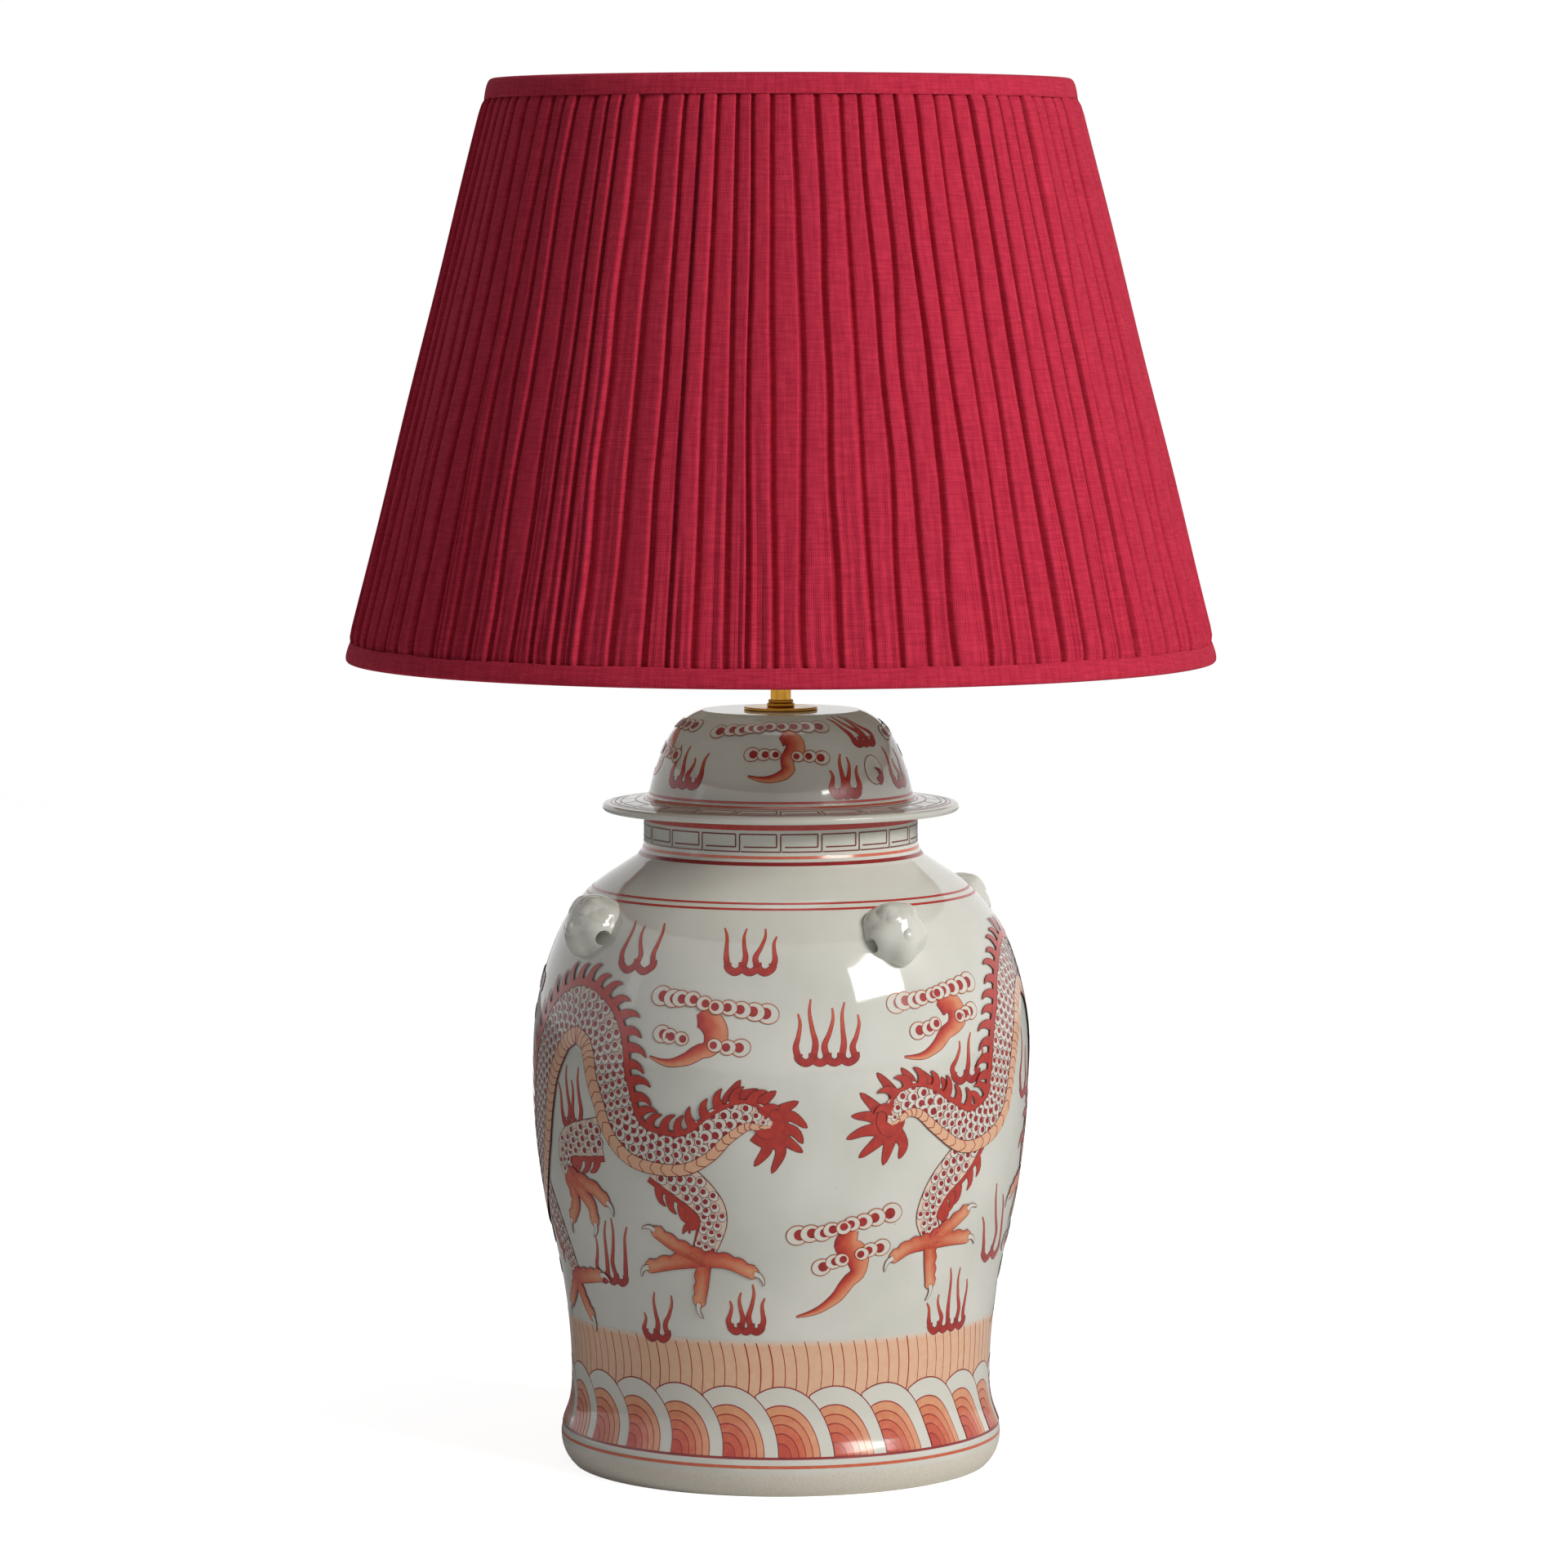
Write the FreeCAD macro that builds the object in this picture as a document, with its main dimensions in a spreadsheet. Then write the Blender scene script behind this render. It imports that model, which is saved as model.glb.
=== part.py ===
import FreeCAD, Part
import math
import os
import re
import Sketcher

# Ginger jar lamp: a hollow porcelain jar with a domed lid, clamped by one threaded stem rod that runs
# from the foot to the lampholder, and a pleated shade that rests on a carrier round the bulb.
# Millimetres, +Z up, origin at the centre of the foot where the jar stands, front towards -Y.

SIZES = [
    ("foot_radius", 121.5, "jar: outside radius of the ring that it stands on"),
    ("foot_ring_width", 14, "jar: width of the bare standing ring"),
    ("foot_recess", 14, "jar: depth of the recess under the base"),
    ("base_thickness", 9, "jar: thickness of the base"),
    ("foot_flare", 6.8, "jar: how far the foot flares out past its ring"),
    ("flare_height", 16, "jar: height of the flare's widest point"),
    ("waist_inset", 6.4, "jar: how far the waist draws in from the flare"),
    ("waist_height", 47, "jar: height of the waist"),
    ("belly_radius", 144.2, "jar: widest radius of the belly"),
    ("belly_height", 240, "jar: height of the belly"),
    ("belly_curve", 172, "jar: radius of the wall's curve above the belly"),
    ("belly_lean", 24, "jar: degrees the wall leans in where the shoulder starts"),
    ("shoulder_curve", 78, "jar: radius of the shoulder's curve"),
    ("shoulder_lean", 57, "jar: degrees the wall leans in where the shoulder ends"),
    ("neck_radius", 79.5, "jar: outside radius of the neck"),
    ("neck_curve", 12, "jar: radius of the hollow curve between shoulder and neck"),
    ("neck_wall", 6, "jar: wall of the neck"),
    ("neck_height", 17.1, "jar: height of the neck above its hollow curve"),
    ("neck_rim", 1.5, "jar: radius of the neck's rounded rim"),
    ("jar_wall", 6.5, "jar: wall of the body"),
    ("base_corner", 8, "jar: inside radius where wall and base meet"),
    ("rod_hole_radius", 5.6, "holes for the stem rod in base and lid"),
    ("lid_flange_radius", 103.5, "lid: outside radius of the flange"),
    ("lid_flange_edge", 4.4, "lid: thickness of the flange at its rim"),
    ("lid_flange_rise", 2.2, "lid: how much the flange climbs towards the dome"),
    ("lid_wall_radius", 76.6, "lid: radius of the dome at its foot"),
    ("lid_wall_curve", 110, "lid: radius of the dome wall's curve"),
    ("lid_crown_curve", 34, "lid: radius of the dome crown's curve"),
    ("lid_foot_lean", 8, "lid: degrees the dome wall leans in at its foot"),
    ("lid_turn_lean", 27, "lid: degrees the dome leans in where the crown starts"),
    ("lid_top_lean", 72, "lid: degrees the crown leans in where the flat top starts"),
    ("lid_thickness", 5, "lid: wall"),
    ("lid_foot_fillet", 3, "lid: fillet between flange and dome"),
    ("bezel_gap", 1.2, "lid: gap between its locating ring and the neck"),
    ("bezel_width", 5, "lid: width of the locating ring"),
    ("bezel_depth", 12, "lid: how far the locating ring reaches into the neck"),
    ("lug_height", 318, "lugs: height of the masks' centres"),
    ("lug_seat_radius", 122, "lugs: distance of the masks' centres from the axis"),
    ("lug_eyelet_depth", 5.9, "lugs: distance of that hole from the masks' centres, outwards"),
    ("lug_eyelet_drop", 7.8, "lugs: distance of that hole below the masks' centres"),
    ("lug_width", 39, "lugs: width of a mask"),
    ("lug_length", 37, "lugs: height of a mask"),
    ("lug_depth", 17, "lugs: how far the head stands out"),
    ("lug_tilt", 24, "lugs: degrees that a mask leans back with the shoulder"),
    ("lug_eyelet_radius", 3.4, "lugs: radius of the hole that runs through from side to side"),
    ("lug_first_azimuth", 31, "lugs: degrees from the front to the first mask"),
    ("lug_count", 4, "lugs: how many masks"),
    ("rod_radius", 5, "stem: radius of the threaded rod"),
    ("rod_bore_radius", 3.6, "stem: bore of the rod, for the flex"),
    ("rod_floor_gap", 4, "stem: the rod's end above the surface the jar stands on"),
    ("rod_entry", 6, "stem: how far the rod reaches into the lampholder"),
    ("thread_clearance", 0.1, "stem: radial gap between the rod and what is on it"),
    ("cushion_radius", 22, "base: radius of the rubber cushion washer"),
    ("cushion_thickness", 2, "base: thickness of the cushion washer"),
    ("washer_radius", 20, "base: radius of the steel washer"),
    ("washer_thickness", 1.5, "base: thickness of the steel washer"),
    ("nut_radius", 9.8, "base: radius over the corners of the hexagon nut"),
    ("nut_thickness", 5, "base: thickness of the nut"),
    ("nut_chamfer", 1.2, "base: chamfer of the nut's corners"),
    ("disc_radius", 21.5, "stem: radius of the polished disc on the lid"),
    ("disc_thickness", 1.8, "stem: thickness of the disc"),
    ("collar_radius", 8.2, "stem: radius of the stepped collar's lower ring"),
    ("collar_step", 0.8, "stem: how much smaller the upper ring is"),
    ("collar_ring", 2.1, "stem: height of each ring of the collar"),
    ("tube_radius", 6, "stem: outside radius of the cover tube"),
    ("tube_wall", 0.7, "stem: wall of the cover tube"),
    ("tube_length", 24, "stem: length of the cover tube"),
    ("inlet_height", 52, "flex inlet: height of the grommet at the back"),
    ("inlet_hole_radius", 6.2, "flex inlet: hole in the jar"),
    ("inlet_gap", 0.2, "flex inlet: gap between grommet and hole"),
    ("inlet_bore_radius", 3.6, "flex inlet: bore of the grommet"),
    ("inlet_rim_radius", 8.5, "flex inlet: rim of the grommet"),
    ("inlet_rim_thickness", 1.6, "flex inlet: thickness of each rim"),
    ("inlet_edge", 0.8, "flex inlet: rounding of the outer rim"),
    ("inlet_seat", 0.4, "flex inlet: how far the flat rims stand off the curved wall"),
    ("holder_radius", 19.5, "lampholder: outside radius"),
    ("holder_wall", 1, "lampholder: wall of cap and skirt"),
    ("holder_entry_radius", 8, "lampholder: radius of the entry boss"),
    ("holder_entry_height", 7, "lampholder: height of the entry boss"),
    ("holder_cap_height", 24, "lampholder: height of the cap above the boss"),
    ("holder_cap_curve", 14, "lampholder: radius of the cap's curve"),
    ("holder_skirt_height", 42, "lampholder: height of the skirt"),
    ("skirt_lip", 2, "lampholder: depth of the skirt's turned-in lip"),
    ("skirt_lip_inset", 0.6, "lampholder: how far the lip stays outside the insulator's bore"),
    ("skirt_edge", 1, "lampholder: chamfer of the skirt's outer edge"),
    ("insulator_gap", 0.3, "lampholder: gap between skirt and insulator"),
    ("insulator_floor", 5, "lampholder: thickness of the insulator's floor"),
    ("insulator_radius", 15.2, "lampholder: bore of the insulator"),
    ("screw_shell_gap", 0.1, "lampholder: gap round the screw shell"),
    ("screw_shell_wall", 0.5, "lampholder: wall of the screw shell"),
    ("screw_shell_height", 30, "lampholder: height of the screw shell"),
    ("contact_radius", 4, "lampholder: radius of the centre contact"),
    ("contact_height", 2.5, "lampholder: height of the centre contact"),
    ("switch_height", 12, "switch: height of the push bar above the entry boss"),
    ("switch_bar_radius", 2, "switch: radius of the push bar"),
    ("switch_clearance", 0.06, "switch: radial running clearance of the bar"),
    ("switch_travel", 7, "switch: travel of the bar"),
    ("switch_stub", 3, "switch: what shows of the bar on the side it is pushed to"),
    ("switch_head_radius", 3.2, "switch: radius of the bar's heads"),
    ("switch_head_length", 4, "switch: length of the bar's heads"),
    ("ring_radius", 28, "shade rings: outside radius"),
    ("ring_gap", 0.4, "shade rings: gap round the skirt"),
    ("ring_height", 7, "shade rings: height of each ring"),
    ("ring_wall", 3, "shade rings: wall of each ring's threaded part"),
    ("ring_flange", 2.5, "shade rings: thickness of each ring's flange"),
    ("ring_start", 10, "shade rings: height of the lower ring above the cap"),
    ("carrier_plate", 2, "carrier: thickness of the base ring"),
    ("carrier_plate_radius", 31, "carrier: outside radius of the base ring"),
    ("carrier_wire_radius", 2, "carrier: radius of the arms' wire"),
    ("carrier_arm_radius", 48, "carrier: distance of the arms from the axis"),
    ("carrier_bend", 24, "carrier: radius of the arms' upper bends"),
    ("carrier_foot_bend", 12, "carrier: radius of the arms' lower bends"),
    ("boss_radius", 9, "carrier: radius of the top boss"),
    ("boss_height", 9, "carrier: height of the top boss"),
    ("boss_edge", 1, "carrier: rounding of the boss's lower edge"),
    ("bolt_radius", 3, "carrier: radius of the bolt that the gallery turns on"),
    ("bolt_length", 13, "carrier: length of the bolt above the boss"),
    ("bolt_chamfer", 0.6, "carrier: chamfer of the bolt's end"),
    ("gallery_clearance", 0.06, "gallery: radial running clearance on the bolt"),
    ("gallery_radius", 55, "gallery: outside radius"),
    ("gallery_thickness", 1.6, "gallery: thickness"),
    ("gallery_lip_radius", 46, "gallery: outside radius of the locating lip"),
    ("gallery_lip_height", 4, "gallery: height of the locating lip"),
    ("gallery_hub_radius", 14, "gallery: radius of the hub"),
    ("gallery_spoke", 12, "gallery: width of each spoke"),
    ("gallery_spokes", 3, "gallery: how many spokes"),
    ("gallery_margin", 2, "gallery: width of plate between the windows and the lip"),
    ("nut_gap", 0.3, "gallery: gap under the knurled nut"),
    ("knob_radius", 9, "gallery: radius of the knurled nut"),
    ("knob_height", 8, "gallery: height of the knurled nut"),
    ("knob_chamfer", 1, "gallery: chamfer under the knurled nut"),
    ("knob_dome", 2, "gallery: rounding of the knurled nut's top"),
    ("bulb_radius", 30, "bulb: radius of the globe"),
    ("bulb_neck_radius", 12.6, "bulb: radius of the neck where it enters the cap"),
    ("bulb_length", 104, "bulb: length over all"),
    ("bulb_cap_radius", 13.2, "bulb: radius of the screw cap"),
    ("bulb_cap_height", 25, "bulb: height of the screw cap"),
    ("bulb_tip_radius", 4.6, "bulb: radius of the contact"),
    ("bulb_tip_height", 1.4, "bulb: height of the contact"),
    ("bulb_wall", 1, "bulb: wall of the glass"),
    ("bulb_globe_lean", 42, "bulb: degrees round the globe where the neck's hollow curve starts"),
    ("bulb_cap_land", 2, "bulb: width of the cap's flat round the contact"),
    ("bulb_cap_taper", 4, "bulb: height of the cap's tapered end"),
    ("bulb_stem_gap", 2, "bulb: gap between the stem's foot and the neck"),
    ("bulb_stem_radius", 3, "bulb: radius of the stem above its foot"),
    ("bulb_stem_foot", 16, "bulb: height of the stem's foot"),
    ("bulb_stem_end_radius", 2, "bulb: radius of the stem's upper end"),
    ("bulb_stem_height", 46, "bulb: height of the stem"),
    ("filament_radius", 1, "bulb: radius of each filament rod"),
    ("filament_circle", 2.9, "bulb: distance of the filament rods from the axis"),
    ("filament_start", 18, "bulb: height of the filament rods above the stem's foot"),
    ("filament_length", 30, "bulb: length of the filament rods"),
    ("filament_count", 4, "bulb: how many filament rods"),
    ("shade_bottom", 468, "shade: height of its lower edge"),
    ("shade_height", 335, "shade: height over all"),
    ("shade_bottom_radius", 247.6, "shade: outside radius of the lining at the lower edge"),
    ("shade_top_radius", 163.2, "shade: outside radius of the lining at the upper edge"),
    ("lining_thickness", 1, "shade: thickness of the laminated lining"),
    ("lining_inset", 1.4, "shade: how far the trims reach past the lining's edges"),
    ("cover_gap", 0.05, "shade: gap between the lining and what lies on it"),
    ("pleat_count", 96, "shade: pleats round the cover"),
    ("pleat_base", 0.8, "shade: thickness of the cover between two pleats"),
    ("pleat_rise", 2.7, "shade: how far a pleat stands out"),
    ("pleat_crest", 0.78, "shade: where along its width a pleat stands highest"),
    ("top_trim_height", 12, "shade: height of the upper trim"),
    ("bottom_trim_height", 11.5, "shade: height of the lower trim"),
    ("trim_lap", 1.3, "shade: how far the trims stand out past the cover"),
    ("trim_wall", 1.4, "shade: thickness of the trims"),
    ("trim_corner", 2.6, "shade: how far the trims' corners are rounded"),
    ("trim_gap", 0.1, "shade: gap between the trims and the edges of cover and lining"),
    ("trim_hem", 1, "shade: how far the trims' inner legs reach past the hoops"),
    ("trim_slack", 0.9, "shade: gap between the hoops and the trims' inner legs"),
    ("hoop_radius", 2, "shade frame: radius of the wire"),
    ("hoop_gap", 0.15, "shade frame: gap between hoops and lining"),
    ("hoop_inset", 4.4, "shade frame: hoops' distance from the shade's edges"),
    ("fitter_inner_radius", 47, "shade frame: bore of the ring that rests on the gallery"),
    ("fitter_width", 6, "shade frame: width of that ring"),
    ("fitter_thickness", 2.6, "shade frame: thickness of that ring"),
    ("fitter_arm_radius", 1.8, "shade frame: radius of the spider's arms"),
    ("fitter_arms", 3, "shade frame: arms of the spider"),
    ("fitter_bend", 9, "shade frame: radius of the bend in the spider's arms"),
    ("fitter_drop", 34, "shade frame: how far the ring hangs below the top hoop"),
    ("edge_roundness", 0.36, "thin edges: how far they bulge, as a share of their thickness"),
    ("overrun", 5, "how far a cutting form reaches past the piece that it cuts"),
]

doc = FreeCAD.newDocument("ginger_jar_lamp")
sheet = doc.addObject("Spreadsheet::Sheet", "Sizes")
for line, (alias, number, note) in enumerate(SIZES, start=1):
    sheet.set("A%d" % line, note)
    sheet.set("B%d" % line, str(number))
    sheet.setAlias("B%d" % line, alias)
doc.recompute()

ALIASES = {alias for alias, number, note in SIZES}
TINY = 1e-7


def linked(formula):
    """The formula with each of the sheet's names written as a reference to its cell."""
    def reference(match):
        word = match.group(0)
        return "Sizes." + word if word in ALIASES else word
    return re.sub(r"[a-z_]+", reference, str(formula))


def value(formula):
    """What a formula in the sheet's names comes to, in millimetres or degrees."""
    return float(sheet.evalExpression(linked(formula)))


def bind(thing, prop, formula):
    thing.setExpression(prop, linked(formula))


# ---------------------------------------------------------------- sketches and features

def new_body(label):
    body = doc.addObject("PartDesign::Body", label)
    body.Label = label
    return body


def origin_feature(body, role):
    return [part for part in body.Origin.OriginFeatures if part.Role == role][0]


def new_sketch(body, name, role="XZ_Plane", offset=None):
    """An empty sketch on one of the body's own planes, moved along that plane's normal."""
    sketch = body.newObject("Sketcher::SketchObject", name)
    sketch.AttachmentSupport = (origin_feature(body, role), [""])
    sketch.MapMode = "FlatFace"
    if offset is not None:
        bind(sketch, "AttachmentOffset.Base.z", offset)
    return sketch


def place_point(sketch, geometry, end, across, up):
    """Ties a point of the sketch to its two coordinates."""
    for kind, formula, axis in (("DistanceX", across, -2), ("DistanceY", up, -1)):
        distance = value(formula)
        if abs(distance) < TINY:
            sketch.addConstraint(Sketcher.Constraint("PointOnObject", geometry, end, axis))
        else:
            number = sketch.addConstraint(Sketcher.Constraint(kind, -1, 1, geometry, end, distance))
            bind(sketch, "Constraints[%d]" % number, formula)


def draw(sketch, steps, closed=True):
    """Draws lines and arcs through the steps. A step is (across, up) for a straight line to that
    point, or (across, up, radius, side) for an arc whose centre lies left or right of the way there."""
    corners = [(value(step[0]), value(step[1])) for step in steps]
    pairs = list(zip(range(len(steps)), range(1, len(steps))))
    if closed:
        pairs.append((len(steps) - 1, 0))
    ends = []
    for first, second in pairs:
        start = FreeCAD.Vector(corners[first][0], corners[first][1], 0)
        stop = FreeCAD.Vector(corners[second][0], corners[second][1], 0)
        step = steps[second]
        if len(step) == 2:
            geometry = sketch.addGeometry(Part.LineSegment(start, stop), False)
            ends.append((geometry, 1, 2))
            continue
        radius = value(step[2])
        side = 1 if step[3] == "left" else -1
        chord = stop - start
        rise = math.sqrt(max(radius ** 2 - chord.Length ** 2 / 4, 0))
        across_chord = FreeCAD.Vector(-chord.y, chord.x, 0) * (side * rise / chord.Length)
        centre = (start + stop) * 0.5 + across_chord
        circle = Part.Circle(centre, FreeCAD.Vector(0, 0, 1), radius)
        angles = [math.atan2(point.y - centre.y, point.x - centre.x) for point in (start, stop)]
        if side < 0:
            angles.reverse()
        geometry = sketch.addGeometry(Part.ArcOfCircle(circle, angles[0], angles[1]), False)
        number = sketch.addConstraint(Sketcher.Constraint("Radius", geometry, radius))
        bind(sketch, "Constraints[%d]" % number, step[2])
        ends.append((geometry, 1, 2) if side > 0 else (geometry, 2, 1))
    for (geometry, head, tail), (following, next_head, next_tail) in zip(ends, ends[1:]):
        sketch.addConstraint(Sketcher.Constraint("Coincident", geometry, tail, following, next_head))
    if closed:
        sketch.addConstraint(Sketcher.Constraint("Coincident", ends[-1][0], ends[-1][2],
                                                 ends[0][0], ends[0][1]))
    else:
        place_point(sketch, ends[-1][0], ends[-1][2], steps[-1][0], steps[-1][1])
    for (geometry, head, tail), step in zip(ends, steps):
        place_point(sketch, geometry, head, step[0], step[1])


def draw_circle(sketch, across, up, radius):
    centre = FreeCAD.Vector(value(across), value(up), 0)
    circle = Part.Circle(centre, FreeCAD.Vector(0, 0, 1), value(radius))
    geometry = sketch.addGeometry(circle, False)
    number = sketch.addConstraint(Sketcher.Constraint("Radius", geometry, value(radius)))
    bind(sketch, "Constraints[%d]" % number, radius)
    place_point(sketch, geometry, 3, across, up)


def revolve(body, sketch, kind="Revolution"):
    """Turns the sketch once round the vertical axis."""
    feature = body.newObject("PartDesign::" + kind, kind + "_of_" + sketch.Name)
    feature.Profile = (sketch, [""])
    feature.ReferenceAxis = (sketch, ["V_Axis"])
    feature.Angle = 360
    sketch.Visibility = False
    return feature


def round_axis(body, name, feature, count):
    """Repeats a feature round the vertical axis and makes the pattern the body's result."""
    pattern = body.newObject("PartDesign::PolarPattern", name)
    pattern.Originals = [feature]
    pattern.Axis = (origin_feature(body, "Z_Axis"), [""])
    pattern.Angle = 360
    bind(pattern, "Occurrences", count)
    body.Tip = pattern


def turned(label, steps):
    """A piece turned round the vertical axis from one outline."""
    body = new_body(label)
    sketch = new_sketch(body, label + "_outline")
    draw(sketch, steps)
    revolve(body, sketch)
    return body


def ring_steps(inner, outer, bottom, top):
    """The outline of a plain ring."""
    return [(inner, bottom), (outer, bottom), (outer, top), (inner, top)]


def cylinder(label, radius, length, height=0):
    piece = doc.addObject("Part::Cylinder", label)
    piece.Label = label
    bind(piece, "Radius", radius)
    bind(piece, "Height", length)
    bind(piece, "Placement.Base.z", height)
    return piece


def cut(label, base, tool):
    piece = doc.addObject("Part::Cut", label)
    piece.Label = label
    piece.Base = base
    piece.Tool = tool
    return piece


def fuse(label, shapes):
    piece = doc.addObject("Part::MultiFuse", label)
    piece.Label = label
    piece.Shapes = shapes
    return piece


# ---------------------------------------------------------------- curves of the jar and lid

FLARE = "(foot_radius + foot_flare)"
WAIST = "(%s - waist_inset)" % FLARE


def s_bend(low, high, share):
    """Two arcs that join two points where the wall stands upright. The joint lies on the straight
    line between them, at the given share of the way, and each arc takes that share of the bend."""
    width = "(%s - (%s))" % (high[0], low[0])
    rise = "(%s - (%s))" % (high[1], low[1])
    bend = "((%s^2 + %s^2) / (2 * abs(%s)))" % (width, rise, width)
    joint = ("%s + %s * %s" % (low[0], share, width), "%s + %s * %s" % (low[1], share, rise))
    return joint, "%s * %s" % (share, bend), "(1 - %s) * %s" % (share, bend)


def bulge(chord, rise):
    """Radius of an arc that stands out by the rise over its chord."""
    return "((%s)^2 / 4 + (%s)^2) / (2 * (%s))" % (chord, rise, rise)


def leaning_arc(start, radius, from_lean, to_lean):
    """Where an arc ends that bends a wall inwards from one lean to the next."""
    across = "%s - (%s) * (cos(%s * 1deg) - cos(%s * 1deg))" % (start[0], radius, from_lean, to_lean)
    up = "%s + (%s) * (sin(%s * 1deg) - sin(%s * 1deg))" % (start[1], radius, to_lean, from_lean)
    return across, up


def jar_side(inset, neck_inset):
    """The jar's wall from the waist to the top of its hollow neck curve, moved inwards by an inset."""
    waist = ("%s - %s" % (WAIST, inset), "waist_height")
    belly = ("belly_radius - %s" % inset, "belly_height")
    joint, waist_bend, belly_bend = s_bend(waist, belly, 0.43)
    shoulder = leaning_arc(belly, "belly_curve - %s" % inset, "0", "belly_lean")
    shoulder_end = leaning_arc(shoulder, "shoulder_curve - %s" % inset, "belly_lean", "shoulder_lean")
    curve = "(neck_curve + %s)" % inset
    hollow_start = "neck_radius - %s + %s * (1 - cos(shoulder_lean * 1deg))" % (neck_inset, curve)
    run = "((%s - (%s)) / tan(shoulder_lean * 1deg))" % (shoulder_end[0], hollow_start)
    hollow_height = "%s + %s" % (shoulder_end[1], run)
    neck_start = "%s + %s * sin(shoulder_lean * 1deg)" % (hollow_height, curve)
    return [
        waist,
        joint + (waist_bend, "right"),
        belly + (belly_bend, "left"),
        shoulder + ("belly_curve - %s" % inset, "left"),
        shoulder_end + ("shoulder_curve - %s" % inset, "left"),
        (hollow_start, hollow_height),
        ("neck_radius - %s" % neck_inset, neck_start, curve, "right"),
    ]


OUTER_SIDE = jar_side("0", "0")
NECK_START = OUTER_SIDE[-1][1]
JAR_TOP = "(%s + neck_height)" % NECK_START
BASE_TOP = "(foot_recess + base_thickness)"


def make_jar():
    """The hollow porcelain jar: its outside form, less the hollow, the foot recess and the holes."""
    form = new_body("jar_form")
    sketch = new_sketch(form, "jar_outside")
    flare = (FLARE, "flare_height")
    foot_curve = "(foot_flare^2 + flare_height^2) / (2 * foot_flare)"
    joint, flare_bend, waist_bend = s_bend(flare, OUTER_SIDE[0], 0.36)
    draw(sketch, [
        ("0", "0"),
        ("foot_radius", "0"),
        flare + (foot_curve, "left"),
        joint + (flare_bend, "left"),
        OUTER_SIDE[0] + (waist_bend, "right"),
    ] + OUTER_SIDE[1:] + [
        ("neck_radius", "%s - neck_rim" % JAR_TOP),
        ("neck_radius - neck_rim", JAR_TOP, "neck_rim", "left"),
        ("0", JAR_TOP),
    ])
    revolve(form, sketch)

    hollow = new_body("jar_hollow")
    sketch = new_sketch(hollow, "jar_inside")
    inside = jar_side("jar_wall", "neck_wall")
    draw(sketch, [
        ("0", BASE_TOP),
        ("%s - jar_wall - base_corner" % WAIST, BASE_TOP),
        ("%s - jar_wall" % WAIST, "%s + base_corner" % BASE_TOP, "base_corner", "left"),
    ] + inside + [
        ("neck_radius - neck_wall", "%s + overrun" % JAR_TOP),
        ("0", "%s + overrun" % JAR_TOP),
    ])
    revolve(hollow, sketch)

    recess = cylinder("foot_recess_form", "foot_radius - foot_ring_width", "foot_recess + overrun",
                      "-overrun")
    rod_hole = cylinder("base_hole_form", "rod_hole_radius", "base_thickness + 2 * overrun",
                        "foot_recess - overrun")
    inlet = cylinder("inlet_hole_form", "inlet_hole_radius", "jar_wall + 2 * overrun", "inlet_height")
    inlet.Placement.Rotation = FreeCAD.Rotation(FreeCAD.Vector(1, 0, 0), -90)
    bind(inlet, "Placement.Base.y", "%s - jar_wall - overrun" % WAIST)
    cut("jar_body", form, fuse("jar_openings", [hollow, recess, rod_hole, inlet]))
    return form


def make_lugs(form):
    """Animal masks on the shoulder. Each is a head with a hooded brow, ears, cheeks, a muzzle and a
    chin, pierced from side to side behind the jaw, and hollowed to the jar's wall behind."""
    # name, then the lump's centre across, out and up, as shares of the mask's half width, its depth
    # and its half height, and its radius as a share of the half width
    lumps = [
        ("head", 0, -0.12, 0.03, 0.97),
        ("hood", 0, 0.40, 0.28, 0.66),
        ("ear_left", -0.66, 0.30, 0.56, 0.31),
        ("ear_right", 0.66, 0.30, 0.56, 0.31),
        ("cheek_left", -0.50, 0.40, -0.08, 0.47),
        ("cheek_right", 0.50, 0.40, -0.08, 0.47),
        ("muzzle", 0, 0.60, -0.42, 0.47),
        ("chin", 0, 0.42, -0.70, 0.31),
    ]
    shapes = []
    for name, across, out, up, share in lumps:
        lump = doc.addObject("Part::Sphere", "lug_" + name)
        bind(lump, "Radius", "%s * lug_width / 2" % share)
        lump.Placement.Rotation = FreeCAD.Rotation(FreeCAD.Vector(1, 0, 0), 90)
        bind(lump, "Placement.Base.x", "%s * lug_width / 2" % across)
        bind(lump, "Placement.Base.y", "-(%s) * lug_depth" % out)
        bind(lump, "Placement.Base.z", "%s * lug_length / 2" % up)
        shapes.append(lump)
    eyelet = cylinder("lug_eyelet", "lug_eyelet_radius", "2 * lug_width", "-lug_eyelet_drop")
    eyelet.Placement.Rotation = FreeCAD.Rotation(FreeCAD.Vector(0, 1, 0), 90)
    bind(eyelet, "Placement.Base.x", "-lug_width")
    bind(eyelet, "Placement.Base.y", "-lug_eyelet_depth")
    pierced = cut("lug_pierced", fuse("lug_lumps", shapes), eyelet)
    tilted = doc.addObject("Part::Compound", "lug_tilted")
    tilted.Links = [pierced]
    tilted.Placement.Rotation = FreeCAD.Rotation(FreeCAD.Vector(1, 0, 0), -value("lug_tilt"))
    bind(tilted, "Placement.Base.y", "-lug_seat_radius")
    bind(tilted, "Placement.Base.z", "lug_height")
    seated = cut("lug_seated", tilted, form)
    names = []
    for number in range(int(value("lug_count"))):
        lug = doc.addObject("Part::Compound", "mask_lug_%d" % (number + 1))
        lug.Label = lug.Name
        lug.Links = [seated]
        turn = value("lug_first_azimuth") + number * 360 / value("lug_count")
        lug.Placement.Rotation = FreeCAD.Rotation(FreeCAD.Vector(0, 0, 1), turn)
        names.append(lug.Name)
    return names


# ---------------------------------------------------------------- lid

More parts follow.
